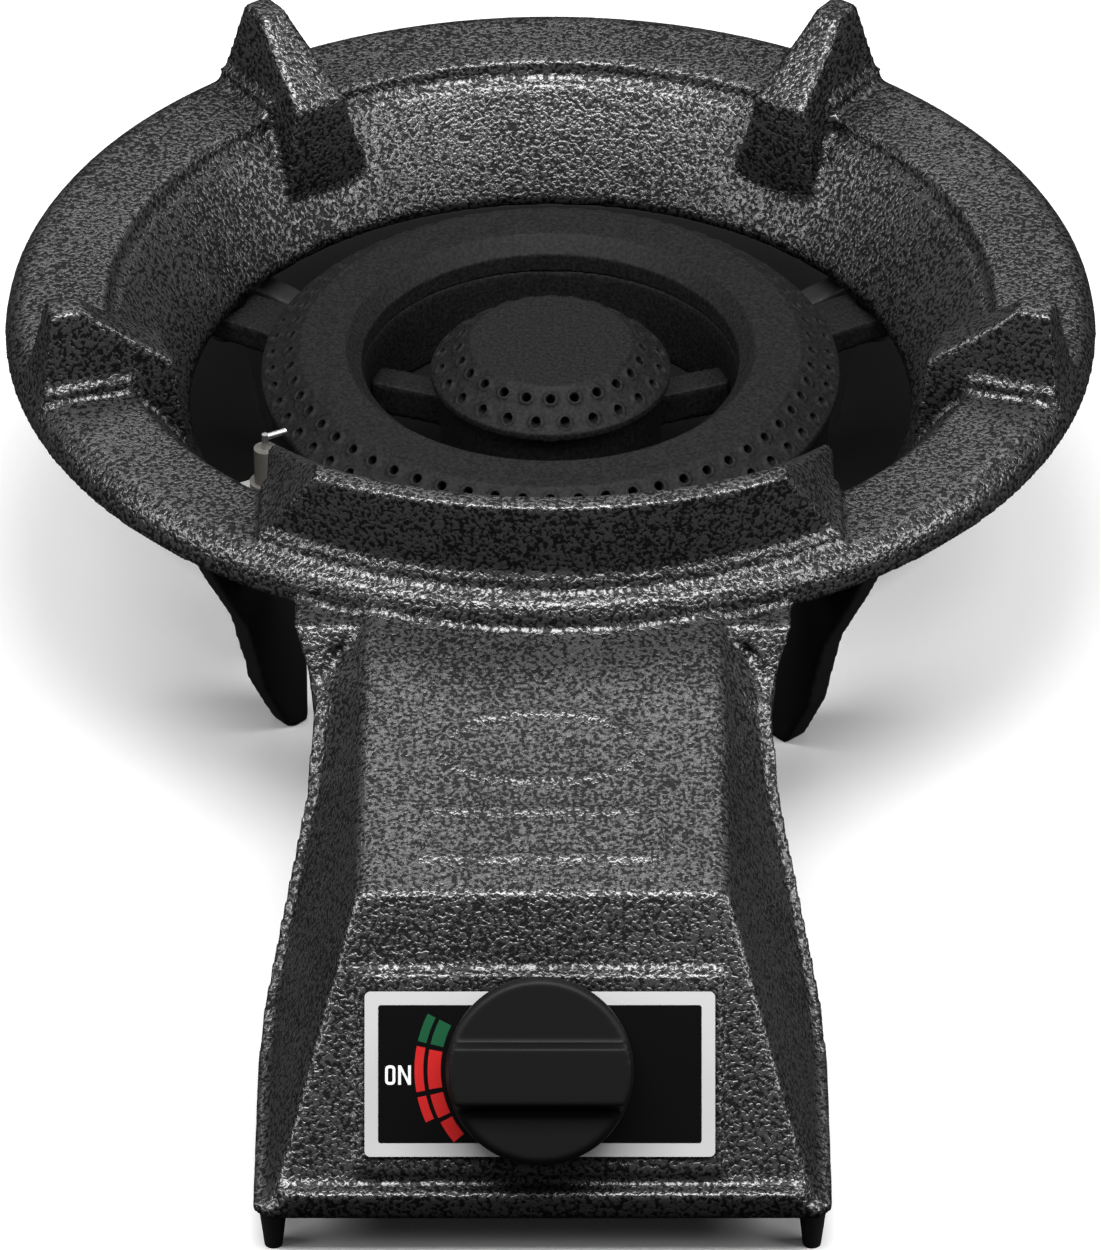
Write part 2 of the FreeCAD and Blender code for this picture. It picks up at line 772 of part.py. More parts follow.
def housing_stations():
    """Reach, top half width, top height, lower half width, lower height and edge round of each section."""
    stations = [(neck_reach, z.deck_half_width, deck_height(neck_reach), flange_root_half,
                 arch_start_height + z.casting_wall, z.deck_edge_round)]
    for along, down, out in ARCH_SHARES:
        reach = arch_start_reach + (arch_end_reach - arch_start_reach) * along
        lower = arch_start_height - (arch_start_height - arch_end_height) * down
        half = flange_neck_half + (flange_front_half - flange_neck_half) * out
        stations.append((reach, z.deck_half_width, deck_height(reach), half, lower, z.deck_edge_round))
    stations.append((deck_reach, z.deck_half_width, deck_front_height, flange_front_half,
                     arch_end_height, z.deck_edge_round))
    stations.append((panel_foot_reach, panel_foot_half, panel_foot_height, flange_front_half,
                     z.lip_bottom_height, z.lip_edge_round))
    stations.append((lip_reach - z.lip_corner, panel_foot_half, panel_foot_height, flange_front_half,
                     z.lip_bottom_height, z.lip_edge_round))
    stations.append((lip_reach, panel_foot_half - z.lip_corner, panel_foot_height,
                     flange_front_half - z.lip_corner, z.lip_bottom_height, z.lip_edge_round))
    return stations


def shifted(sections):
    """The housing stands a little to the left of the rim's middle."""
    return [(reach, [(across - z.housing_shift, up) for across, up in points]) for reach, points in sections]


def housing_outer():
    sections = []
    for reach, half, top, low_half, low, edge in housing_stations():
        wall_half = low_half - z.flange_width
        right = [(low_half, low), (low_half, low + z.flange_thickness), (wall_half, low + z.flange_thickness),
                 (half, top - edge), (half - edge * CORNER_SHARE, top - edge * CORNER_SHARE),
                 (half - edge, top)]
        left = [(-across, up) for across, up in reversed(right)]
        sections.append((reach, right + left))
    return loft("HousingOuter", shifted(sections))


def housing_inner():
    """What the housing leaves free inside, one wall in from its deck, panel and sides."""
    wall = z.casting_wall
    panel_back = wall / sine(panel_tilt)
    top_corner = deck_reach - wall / 2
    sections = []
    for reach, half, top, low_half, low, edge in housing_stations()[:-4]:
        if reach.value == neck_reach.value:
            reach = reach - z.overrun
        sections.append((reach, half - wall, top - wall, low_half - z.flange_width - wall, low - z.overrun))
    sections.append((top_corner, z.deck_half_width - wall, deck_front_height - wall,
                     flange_front_half - z.flange_width - wall, arch_end_height - z.overrun))
    sections.append((panel_foot_reach - panel_back, panel_foot_half - wall, panel_foot_height,
                     flange_front_half - z.flange_width - wall, z.lip_bottom_height - z.overrun))
    outlines = []
    for reach, half, top, low_half, low in sections:
        outlines.append((reach, [(low_half, low), (half, top), (-half, top), (-low_half, low)]))
    return loft("HousingInner", shifted(outlines))


def gussets():
    """The corners where the skirt runs down into the flange on each side of the neck."""
    made = []
    top = skirt_height + z.rim_fall * 2
    for side, sign in (("Right", 1), ("Left", -1)):
        outer = flange_neck_half + z.gusset_outset
        inner = flange_neck_half - z.gusset_inset
        points = [(outer * sign, top), (inner * sign, top),
                  (((inner + outer) / 2 - z.flange_width / 2) * sign, top - z.gusset_drop / 4),
                  ((flange_neck_half - z.flange_width / 2) * sign, top - z.gusset_drop / 2),
                  ((flange_neck_half - z.flange_width) * sign, top - z.gusset_drop),
                  ((flange_neck_half + z.flange_width / 2) * sign, top - z.gusset_drop),
                  ((flange_neck_half + z.flange_width) * sign, top - z.gusset_drop / 2)]
        points = [(across - z.housing_shift, up) for across, up in points]
        web = prism("Gusset" + side + "Web", "XZ_Plane", points, (gusset_reach + z.gusset_slope_run) * 2)
        slope = prism("Gusset" + side + "Slope", "YZ_Plane", [
            (z.gusset_depth - gusset_reach, top), (-gusset_reach, top),
            (-gusset_reach - z.gusset_slope_run, top - z.gusset_drop),
            (z.gusset_depth - gusset_reach, top - z.gusset_drop)], z.rim_radius * 2)
        made.append(common("Gusset" + side, web, slope))
    return made


def deck_reliefs():
    """A plain oval and a plain frame, both thin raised lines on the deck."""
    lean = slope_angle(z.deck_fall, z.deck_length)
    made = []
    rings = []
    for name, shrink in (("OvalEdge", ZERO), ("OvalInside", z.relief_line)):
        oval = doc.addObject("Part::Ellipse", name)
        bind(oval, "MajorRadius", z.oval_half_width - shrink)
        bind(oval, "MinorRadius", z.oval_half_depth - shrink)
        solid = doc.addObject("Part::Extrusion", name + "Solid")
        solid.Base = oval
        solid.DirMode = "Custom"
        solid.Dir = FreeCAD.Vector(0, 0, 1)
        solid.Solid = True
        solid.Symmetric = True
        bind(solid, "LengthFwd", z.relief_height * 2 + shrink)
        rings.append(solid)
    made.append((cut("OvalRelief", rings[0], rings[1:]), deck_reach - z.oval_inset))
    edge = box("FrameEdge", z.frame_width, z.frame_depth, z.relief_height * 2, ZERO, ZERO, -z.relief_height)
    inside = box("FrameInside", z.frame_width - z.relief_line * 2, z.frame_depth - z.relief_line * 2,
                 z.relief_height * 4, ZERO, ZERO, -z.relief_height * 2)
    made.append((cut("FrameRelief", edge, [inside]), deck_reach - z.frame_inset))
    for relief, reach in made:
        relief.Placement = FreeCAD.Placement(FreeCAD.Vector(0, 0, 0),
                                             FreeCAD.Rotation(FreeCAD.Vector(1, 0, 0), float(lean)))
        bind(relief, "Placement.Rotation.Angle", lean)
        bind(relief, "Placement.Base.x", z.panel_x)
        bind(relief, "Placement.Base.y", -reach)
        bind(relief, "Placement.Base.z", deck_height(reach))
    return [relief for relief, reach in made]


def panel_bosses():
    """Raised pad outside, and two screw bosses inside, square to the panel."""
    pad = box("BezelPad", z.bezel_width + z.pad_side_margin * 2, z.bezel_depth + z.pad_end_margin * 2,
              z.pad_proud + z.casting_wall / 2, ZERO, -z.bezel_drop, -z.casting_wall / 2)
    length = z.boss_length + z.casting_wall / 2
    right = cylinder("BossRight", z.boss_radius, length, z.bracket_hole_x, ZERO, -boss_end)
    left = cylinder("BossLeft", z.boss_radius, length, -z.bracket_left_hole_x, -z.bracket_left_hole_down,
                    -boss_end)
    return on_panel_plane(fuse("PanelBosses", [pad, right, left]))


def panel_holes():
    over = z.overrun
    stem_hole = cylinder("StemHole", z.stem_hole_radius, z.casting_wall + z.pad_proud + over * 2, ZERO, ZERO,
                         -z.casting_wall - over)
    depth = z.screw_grip
    right = cylinder("BossHoleRight", z.screw_radius, depth, z.bracket_hole_x, ZERO, -boss_end)
    left = cylinder("BossHoleLeft", z.screw_radius, depth, -z.bracket_left_hole_x, -z.bracket_left_hole_down,
                    -boss_end)
    return on_panel_plane(fuse("PanelHoles", [stem_hole, right, left]))


def leg_azimuths():
    return (("rear_right", z.leg_azimuth), ("rear_left", HALF_TURN - z.leg_azimuth),
            ("front_left", HALF_TURN + z.leg_azimuth),
            ("front_right", -z.leg_azimuth - z.front_right_leg_turn))


def lug_azimuths():
    return (("right", z.lug_azimuth), ("left", HALF_TURN - z.lug_azimuth),
            ("front", HALF_TURN + QUARTER_TURN))


def cast_bosses():
    """Leg pads and burner bosses cast under the dish."""
    blocks = []
    pad_length = leg_outer_radius - leg_top_inner_radius
    for side, azimuth in leg_azimuths():
        pad = box("LegPad" + side, pad_length, z.leg_flange_width, z.rim_height - leg_top_height,
                  leg_top_inner_radius + pad_length / 2, ZERO, leg_top_height)
        holder = group("LegPadTurned" + side, [pad])
        blocks.append(spin(holder, azimuth))
    for side, azimuth in lug_azimuths():
        boss = cylinder("LugBoss" + side, z.lug_boss_radius, z.rim_height - lug_height, lug_bolt_radius,
                        ZERO, lug_height)
        holder = group("LugBossTurned" + side, [boss])
        blocks.append(spin(holder, azimuth))
    return common("CastBosses", fuse("BossBlocks", blocks), under_dish())


def cast_holes():
    """Blind holes for the leg bolts, the burner bolts and the studs of the front feet."""
    holes = []
    for side, azimuth in leg_azimuths():
        for hand, sign in (("a", 1), ("b", -1)):
            hole = cylinder("LegHole" + side + hand, z.leg_bolt_radius, z.casting_wall + z.rim_fall,
                            leg_bolt_circle, z.leg_bolt_spacing / 2 * sign, leg_top_height)
            holes.append(spin(group("LegHoleTurned" + side + hand, [hole]), azimuth))
    for side, azimuth in lug_azimuths():
        hole = cylinder("LugHole" + side, z.bolt_radius, z.bolt_into, lug_bolt_radius, ZERO, lug_height)
        holes.append(spin(group("LugHoleTurned" + side, [hole]), azimuth))
    for side, sign in (("Right", 1), ("Left", -1)):
        holes.append(cylinder("StudHole" + side, z.foot_stud_radius, z.foot_stud_length,
                              foot_x * sign - z.housing_shift, -foot_reach, z.lip_bottom_height))
    return holes


def cast_body():
    housing = cut("Housing", housing_outer(), [housing_inner()])
    solid = fuse("CastSolid", [dish(), housing] + claws() + shield() + gussets() + deck_reliefs()
                 + [panel_bosses(), cast_bosses()])
    finish(cut("CastBody", solid, [panel_holes()] + cast_holes()), "cast_body")


def legs():
    """Four flat blades, each with a bolting flange on top."""
    top = leg_top_height
    low = top - z.leg_flange_thickness
    run = leg_outer_radius - leg_tip_radius
    edge = []
    for out, up in LEG_EDGE_SHARES:
        edge.append((leg_tip_radius + run * out, top * up))
    notch = z.leg_notch_height
    points = [(leg_inner_radius, ZERO), (leg_tip_radius, ZERO)] + list(reversed(edge)) + [
        (leg_outer_radius, low), (leg_outer_radius, top), (leg_top_inner_radius, top),
        (leg_top_inner_radius, low),
        (leg_inner_radius + z.leg_shoulder_width, top - z.leg_shoulder_drop + z.rim_fall),
        (leg_inner_radius + z.leg_notch_depth / 2, top - z.leg_shoulder_drop),
        (leg_inner_radius + z.leg_notch_depth / 2, notch + z.leg_notch_depth),
        (leg_inner_radius, notch)]
    flange_length = leg_outer_radius - leg_top_inner_radius
    for side, azimuth in leg_azimuths():
        blade = prism("LegBlade" + side, "XZ_Plane", points, z.leg_thickness)
        flange = box("LegFlange" + side, flange_length, z.leg_flange_width, z.leg_flange_thickness,
                     leg_top_inner_radius + flange_length / 2, ZERO, low)
        holes = []
        for hand, sign in (("a", 1), ("b", -1)):
            holes.append(cylinder("LegClear" + side + hand, z.leg_bolt_radius + z.running_gap,
                                  z.leg_flange_thickness + z.overrun * 2, leg_bolt_circle,
                                  z.leg_bolt_spacing / 2 * sign, low - z.overrun))
        leg = cut("Leg" + side, fuse("LegSolid" + side, [blade, flange]), holes)
        finish(spin(leg, azimuth, axis_y), "leg_" + side)


def screw(name, radius, length, head_radius, head_height, x, y, up, down=True):
    """A headed screw whose head's seat is at up, its shank on the side away from the head."""
    shank_from = up if down else up - length
    head_from = up - head_height if down else up
    shank = cylinder(name + "Shank", radius, length, x, y, shank_from)
    head = cylinder(name + "Head", head_radius, head_height, x, y, head_from)
    return fuse(name, [shank, head])


def leg_bolts():
    bolts = []
    seat = leg_top_height - z.leg_flange_thickness
    for side, azimuth in leg_azimuths():
        for hand, sign in (("a", 1), ("b", -1)):
            bolt = screw("LegBolt" + side + hand, z.leg_bolt_radius, z.leg_flange_thickness + z.casting_wall,
                         z.leg_bolt_head_radius, z.leg_bolt_head_height, leg_bolt_circle,
                         z.leg_bolt_spacing / 2 * sign, seat)
            bolts.append(spin(bolt, azimuth))
    finish(group("LegBolts", bolts), "leg_bolts")


def front_feet():
    for side, sign in (("Right", 1), ("Left", -1)):
        across = foot_x * sign - z.housing_shift
        peg = cone("FootPeg" + side, z.foot_tip_radius, z.foot_top_radius, z.lip_bottom_height, across,
                   -foot_reach)
        stud = cylinder("FootStud" + side, z.foot_stud_radius, z.foot_stud_length + z.rim_fall, across,
                        -foot_reach, z.lip_bottom_height - z.rim_fall)
        finish(fuse("Foot" + side, [peg, stud]), "front_foot_" + side.lower())


def mixing_tube(tag, x, end):
    """Solid and hollow of one mixing tube, from its mouth plate to its closed end."""
    back = z.mouth_thickness
    bell_start = mouth_reach - back
    straight = bell_start - z.bell_length
    plate = cylinder(tag + "Mouth", z.mouth_radius, back, x, -mouth_reach, tube_height, "back")
    hub = cylinder(tag + "Hub", z.hub_radius, z.hub_length, x, -hub_end_reach, tube_height, "back")
    bell = cone(tag + "Bell", z.mouth_radius, z.tube_radius, z.bell_length, x, -bell_start, tube_height,
                "back")
    tube = cylinder(tag + "Tube", z.tube_radius, straight - end, x, -straight, tube_height, "back")
    wall = z.tube_radius - z.tube_bore
    bell_bore = cone(tag + "BellBore", z.mouth_radius - z.nozzle_to_hub / 2, z.tube_bore, z.bell_length, x,
                     -bell_start, tube_height, "back")
    bore = cylinder(tag + "Bore", z.tube_bore, straight - end - wall, x, -straight, tube_height, "back")
    hub_bore = cylinder(tag + "HubBore", z.hub_bore, z.hub_length + back, x, -hub_end_reach,
                        tube_height, "back")
    rise = cylinder(tag + "Rise", z.tube_bore - z.running_gap,
                    burner_floor_height + z.burner_wall + z.rim_fall - tube_height, x,
                    -end - z.tube_radius, tube_height)
    holes = air_holes(tag + "Air", x, mouth_reach + z.overrun / 2, back + z.overrun / 2)
    return [plate, hub, bell, tube], [bell_bore, bore, hub_bore, rise] + holes


def air_holes(tag, x, reach, depth):
    holes = []
    for number in range(AIR_HOLES):
        turn = QUARTER_TURN * number + z.air_hole_azimuth
        across = x + z.air_hole_circle * cosine(turn)
        up = tube_height + z.air_hole_circle * sine(turn)
        holes.append(cylinder(tag + str(number), z.air_hole_radius, depth, across, -reach, up, "back"))
    return holes


def burner_base():
    """Ring with lugs and electrode shelf, cup with arms, and the two mixing tubes under them."""
    floor = burner_floor_height
    seat = burner_seat_height
    wall = z.burner_wall
    trough = turned("Trough", [
        (z.trough_inner_radius, floor), (z.trough_outer_radius, floor), (z.trough_outer_radius, seat),
        (z.trough_outer_radius - wall, seat), (z.trough_outer_radius - wall, floor + wall),
        (z.trough_inner_radius + wall, floor + wall), (z.trough_inner_radius + wall, seat),
        (z.trough_inner_radius, seat)])
    cup = turned("Cup", [
        (ZERO, floor), (z.cup_radius, floor), (z.cup_radius, seat), (z.cup_radius - wall, seat),
        (z.cup_radius - wall, floor + wall), (ZERO, floor + wall)])
    solids = [trough, cup]
    arm_length = z.trough_inner_radius - z.cup_radius + wall
    arm_angles = (("right", z.arm_azimuth), ("left", HALF_TURN - z.arm_azimuth),
                  ("front", HALF_TURN + QUARTER_TURN))
    for side, azimuth in arm_angles:
        arm = box("Arm" + side, arm_length, z.arm_width, z.arm_height,
                  z.cup_radius - wall / 2 + arm_length / 2, ZERO, floor + z.arm_rise)
        solids.append(spin(group("ArmTurned" + side, [arm]), azimuth))
    lug_from = z.trough_outer_radius - wall / 2
    lug_length = lug_bolt_radius - lug_from
    lug_low = lug_height - z.lug_thickness
    holes = []
    for side, azimuth in lug_azimuths():
        bar = box("LugBar" + side, lug_length, z.lug_width, z.lug_thickness, lug_from + lug_length / 2, ZERO,
                  lug_low)
        end = cylinder("LugEnd" + side, z.lug_width / 2, z.lug_thickness, lug_bolt_radius, ZERO, lug_low)
        hole = cylinder("LugClear" + side, z.bolt_radius + z.running_gap, z.lug_thickness + z.overrun * 2,
                        lug_bolt_radius, ZERO, lug_low - z.overrun)
        solids.append(spin(cut("LugTurned" + side, fuse("LugSolid" + side, [bar, end]), [hole]), azimuth))
    shelf_from = z.trough_outer_radius - wall / 2
    shelf = box("Shelf", z.electrode_shelf_length, z.electrode_shelf_width, z.electrode_shelf_thickness,
                shelf_from + z.electrode_shelf_length / 2, ZERO,
                lug_height - z.electrode_shelf_thickness)
    solids.append(spin(group("ShelfTurned", [shelf]), z.electrode_azimuth))
    outer_end = (z.trough_inner_radius + z.trough_outer_radius) / 2 - z.tube_radius
    outer, outer_hollow = mixing_tube("OuterTube", outer_tube_x, outer_end)
    inner, inner_hollow = mixing_tube("InnerTube", inner_tube_x, -z.tube_radius / 2)
    screw_hole = cylinder("ShelfHole", z.small_screw_radius, z.electrode_shelf_thickness,
                          z.trough_outer_radius + z.small_screw_head, ZERO,
                          lug_height - z.electrode_shelf_thickness)
    holes.append(spin(group("ShelfHoleTurned", [screw_hole]), z.electrode_azimuth))
    whole = cut("BurnerWhole", fuse("BurnerSolid", solids + outer + inner),
                outer_hollow + inner_hollow + holes)
    above = turned("BurnerAbove", [
        (ZERO, floor), (z.trough_outer_radius, floor), (z.trough_outer_radius, lug_low),
        (z.rim_radius, lug_low), (z.rim_radius, z.rim_height), (ZERO, z.rim_height)])
    within = cylinder("BurnerWithin", z.trough_inner_radius, z.rim_height - floor, ZERO, ZERO, floor)
    finish(cut("BurnerRing", common("BurnerUpper", whole, above), [within]), "burner_ring")
    finish(common("BurnerCup", whole, within), "burner_cup")
    finish(cut("MixingTubes", whole, [above]), "mixing_tubes")


def burner_bolts():
    bolts = []
    for side, azimuth in lug_azimuths():
        bolt = screw("BurnerBolt" + side, z.bolt_radius, z.lug_thickness + z.bolt_into - z.rim_fall,
                     z.bolt_head_radius, z.bolt_head_height, lug_bolt_radius, ZERO,
                     lug_height - z.lug_thickness)
        bolts.append(spin(bolt, azimuth))
    finish(group("BurnerBolts", bolts), "burner_bolts")


def port_rows(count, slope_start, slope_end, cavity):
    """Drills and raised rims of two staggered rows of ports on a cap's slope."""
    drills = []
    rims = []
    run = slope_end[0] - slope_start[0]
    fall = slope_start[1] - slope_end[1]
    length = math.hypot(run, fall)
    radius = float(z.port_hole_radius)
    rim_height = float(z.port_rim_height)
    for row, share in enumerate(PORT_ROW_SHARES):
        out = slope_start[0] + run * share
        up = slope_start[1] - fall * share
        for number in range(count):
            turn = 2 * math.pi * (number + row / 2) / count
            spot = FreeCAD.Vector(out * math.cos(turn), out * math.sin(turn), up)
            lean = fall / length
            aim = FreeCAD.Vector(lean * math.cos(turn), lean * math.sin(turn), run / length)
            source = FreeCAD.Vector(cavity[0] * math.cos(turn), cavity[0] * math.sin(turn), cavity[1])
            way = spot - source
            drills.append(Part.makeCylinder(radius, way.Length + float(z.overrun), source, way))
            foot = spot - aim * rim_height
            rims.append(Part.makeCylinder(float(z.port_rim_radius), rim_height * 2, foot, aim))
    return drills, rims


def ported_cap(name, label, profile, count, slope_start, slope_end, cavity):
    """A turned cap with its ports drilled from the cavity out through the slope."""
    solid = turned(name + "Solid", profile)
    doc.recompute()
    drills, rims = port_rows(count, slope_start, slope_end, cavity)
    rim_feature = doc.addObject("Part::Feature", name + "Rims")
    rim_feature.Shape = Part.makeCompound(rims)
    drill_feature = doc.addObject("Part::Feature", name + "Drills")
    drill_feature.Shape = Part.makeCompound(drills)
    raised = doc.addObject("Part::MultiFuse", name + "Raised")
    raised.Shapes = [solid, rim_feature]
    drilled = doc.addObject("Part::Cut", name)
    drilled.Base = raised
    drilled.Tool = drill_feature
    finish(drilled, label)


def burner_caps():
    seat = burner_seat_height
    top = seat + z.cap_height
    wall = z.burner_wall
    edge = z.trough_outer_radius + z.cap_overhang
    crown = edge - z.cap_slope
    inside = z.trough_inner_radius
    skirt = z.trough_outer_radius - wall - z.cap_seat_gap
    skirt_inside = skirt - z.cap_skirt_thickness
    profile = [
        (inside, seat), (inside, top - z.cap_inner_lean), (inside + z.cap_inner_lean, top), (crown, top),
        (edge, seat + z.cap_edge_height), (edge, seat), (skirt, seat), (skirt, seat - z.cap_skirt_depth),
        (skirt_inside, seat - z.cap_skirt_depth), (skirt_inside, seat + z.cap_cavity_height),
        (inside + wall + z.rim_fall, seat + z.cap_cavity_height), (inside + wall + z.rim_fall, seat)]
    cavity = (float(skirt_inside) - float(z.cap_edge_height), float(seat) + float(z.cap_edge_height))
    ported_cap("OuterCap", "outer_burner_cap", profile, OUTER_PORTS, (float(crown), float(top)),
               (float(edge), float(seat + z.cap_edge_height)), cavity)
    top = top + z.inner_cap_rise
    edge = z.cup_radius + z.cap_overhang
    crown = edge - z.cap_slope
    skirt = z.cup_radius - wall - z.cap_seat_gap
    skirt_inside = skirt - z.cap_skirt_thickness
    profile = [
        (ZERO, top), (crown, top), (edge, seat + z.cap_edge_height), (edge, seat), (skirt, seat),
        (skirt, seat - z.cap_skirt_depth), (skirt_inside, seat - z.cap_skirt_depth),
        (skirt_inside, seat + z.cap_cavity_height), (ZERO, seat + z.cap_cavity_height)]
    cavity = (float(skirt_inside) - float(z.cap_edge_height), float(seat) + float(z.cap_edge_height))
    ported_cap("InnerCap", "inner_burner_cap", profile, INNER_PORTS, (float(crown), float(top)),
               (float(edge), float(seat + z.cap_edge_height)), cavity)


def shutters():
    """A turning air plate and its clip on each mixing tube's hub."""
    for tag, label, x in (("OuterShutter", "outer", outer_tube_x), ("InnerShutter", "inner", inner_tube_x)):
        near = mouth_reach + z.shutter_gap
        far = near + z.shutter_thickness
        plate = cylinder(tag + "Plate", z.mouth_radius, z.shutter_thickness, x, -far, tube_height, "back")
        tab = box(tag + "Tab", z.shutter_tab_width, z.shutter_thickness,
                  z.shutter_tab_length + z.mouth_radius / 3, x, -far + z.shutter_thickness / 2,
                  tube_height + z.mouth_radius * 2 / 3)
        bore = cylinder(tag + "Bore", z.hub_radius + z.running_gap, z.shutter_thickness + z.overrun, x,
                        -far - z.overrun / 2, tube_height, "back")
        holes = air_holes(tag + "Air", x, far + z.overrun / 2, z.shutter_thickness + z.overrun)
        finish(cut(tag, fuse(tag + "Solid", [plate, tab]), [bore] + holes), label + "_air_shutter")
        clip_near = far + z.shutter_gap
        ring = cylinder(tag + "ClipRing", z.shutter_clip_radius, z.shutter_clip_thickness, x,
                        -clip_near - z.shutter_clip_thickness, tube_height, "back")
        hole = cylinder(tag + "ClipHole", z.hub_radius, z.shutter_clip_thickness + z.overrun, x,
                        -clip_near - z.shutter_clip_thickness - z.overrun / 2, tube_height, "back")
        finish(cut(tag + "Clip", ring, [hole]), label + "_shutter_clip")


def nozzles():
    """Brass jets: thread, hexagon and nose, with the jet bored through."""
    for tag, label, x in (("OuterNozzle", "outer", outer_tube_x), ("InnerNozzle", "inner", inner_tube_x)):
        thread_reach = manifold_rear + z.nozzle_thread_length
        thread = cylinder(tag + "Thread", z.nozzle_thread_radius - z.running_gap, z.nozzle_thread_length, x,
                          -thread_reach, tube_height, "back")
        hexagon = doc.addObject("Part::Prism", tag + "Hexagon")
        hexagon.Polygon = 6
        bind(hexagon, "Circumradius", z.nozzle_hex_radius)
        bind(hexagon, "Height", z.nozzle_hex_length)
        put(hexagon, x, -manifold_rear, tube_height, "back")
        nose = cone(tag + "Nose", z.nozzle_nose_radius, z.nozzle_tip_radius, z.nozzle_nose_length, x,
                    -manifold_rear + z.nozzle_hex_length, tube_height, "back")
        jet = cylinder(tag + "Jet", z.nozzle_jet_radius, z.manifold_depth * 2, x, -thread_reach - z.overrun,
                       tube_height, "back")
        finish(cut(tag, fuse(tag + "Solid", [thread, hexagon, nose]), [jet]), label + "_nozzle")


def port_place():
    """Reach and height of the tap's inlet port, on the barrel's axis."""
    inward = tap_front + z.port_inward
    return dial_reach - inward * sine(panel_tilt), dial_height - inward * cosine(panel_tilt)


def tap_body():
    """Neck and barrel square to the panel, a level manifold behind and an inlet port to the right."""
    neck = cylinder("TapNeck", z.tap_neck_radius, z.tap_neck_length + z.rim_fall, ZERO, ZERO,
                    -tap_front - z.rim_fall)
    barrel = cylinder("TapBarrel", z.barrel_radius, z.barrel_length, ZERO, ZERO, -barrel_end)
    turned_barrel = spin(group("TapBarrelTurned", [barrel]), -QUARTER_TURN)
    tilted = on_panel_plane(fuse("TapTilted", [neck, turned_barrel]))
    width = z.tube_spacing + z.manifold_margin * 2
    manifold = box("TapManifold", width, z.manifold_depth, z.manifold_height, z.panel_x,
                   -manifold_reach + z.manifold_depth / 2, tube_height - z.manifold_height / 2)
    reach, height = port_place()
    port = cylinder("TapPort", z.port_radius, z.port_length + z.barrel_bore, z.panel_x + z.barrel_bore,
                    -reach, height, "right")
    stem_bore = cylinder("TapStemBore", z.stem_radius + z.running_gap,
                         z.tap_neck_length + z.barrel_wall + z.overrun * 2, ZERO, ZERO,
                         -tap_front - z.barrel_wall - z.overrun)
    plug_bore = cylinder("TapPlugBore", z.barrel_bore, z.barrel_length - z.barrel_wall * 2, ZERO, ZERO,
                         -barrel_end + z.barrel_wall)
    bores = [on_panel_plane(fuse("TapTiltedBores", [stem_bore, plug_bore]))]
    bores.append(cylinder("TapPortBore", z.port_bore, z.port_length + z.barrel_bore * 2,
                          z.panel_x + z.barrel_bore - z.rim_fall, -reach, height, "right"))
    for tag, x in (("Outer", outer_tube_x), ("Inner", inner_tube_x)):
        bores.append(cylinder("TapSocket" + tag, z.nozzle_thread_radius,
                              z.nozzle_thread_length + z.overrun, x,
                              -manifold_rear - z.nozzle_thread_length, tube_height, "back"))
    gallery = cylinder("TapGallery", z.port_bore, z.tube_spacing, inner_tube_x,
                       -manifold_rear - z.nozzle_thread_length - z.port_bore / 2, tube_height, "right")
    bores.append(gallery)
    finish(cut("TapBody", fuse("TapSolid", [tilted, manifold, port]), bores), "valve_body")


def tap_plug():
    """The turning brass plug, slotted for the stem's tongue."""
    length = z.plug_length
    start = -barrel_end + z.barrel_wall + z.plug_end_gap
    plug = cylinder("PlugSolid", z.barrel_bore - z.running_gap, length, ZERO, ZERO, start)
    slot = box("PlugSlot", z.tongue_width + z.clip_gap * 2, z.plug_slot_width, z.plug_slot_depth + z.overrun,
               ZERO, ZERO, start + length - z.plug_slot_depth)
    finish(cut("TapPlug", plug, [slot]), "valve_plug", on_panel=True)


def stem_and_clip():
    """The stem from the plug's slot out into the knob, its collar in front of the trip plate."""
    collar_from = -z.casting_wall - z.pad_proud / 2 + z.clip_gap
    plug_top = -barrel_end + z.barrel_wall + z.plug_end_gap + z.plug_length
    tongue_from = plug_top - (z.plug_slot_depth - z.push_travel - z.plug_end_gap)
    round_from = plug_top + z.push_travel + z.clip_gap
    round_end = knob_bottom + z.stem_into_knob
    shaft = cylinder("StemShaft", z.stem_radius, round_end - round_from, ZERO, ZERO, round_from)
    tongue = box("StemTongue", z.tongue_width, z.tongue_thickness, round_from - tongue_from + z.rim_fall,
                 ZERO, ZERO, tongue_from)
    collar = cylinder("StemCollar", z.stem_collar_radius, z.stem_collar_height, ZERO, ZERO, collar_from)
    finish(fuse("Stem", [shaft, tongue, collar]), "valve_stem", on_panel=True)
    clip_top = -tap_front - z.barrel_wall - z.clip_gap / 2
    ring = cylinder("StemClipRing", z.clip_radius, z.clip_thickness, ZERO, ZERO, clip_top - z.clip_thickness)
    hole = cylinder("StemClipHole", z.stem_radius, z.clip_thickness + z.overrun, ZERO, ZERO,
                    clip_top - z.clip_thickness - z.overrun / 2)
    finish(cut("StemClip", ring, [hole]), "stem_clip", on_panel=True)


def trip_top():
    collar_from = -z.casting_wall - z.pad_proud / 2 + z.clip_gap
    return collar_from - z.trip_gap


def trip_plate():
    """The strap that the stem's collar pushes in, and that strikes the igniter."""
    low = trip_top() - z.trip_thickness
    strap = box("TripStrap", z.trip_left + z.trip_right, z.trip_width, z.trip_thickness,
                (z.trip_right - z.trip_left) / 2, ZERO, low)
    hole = cylinder("TripHole", z.stem_radius + z.trip_gap, z.trip_thickness + z.overrun, ZERO, ZERO,
                    low - z.overrun / 2)
    finish(cut("TripPlate", strap, [hole]), "trip_plate", on_panel=True)


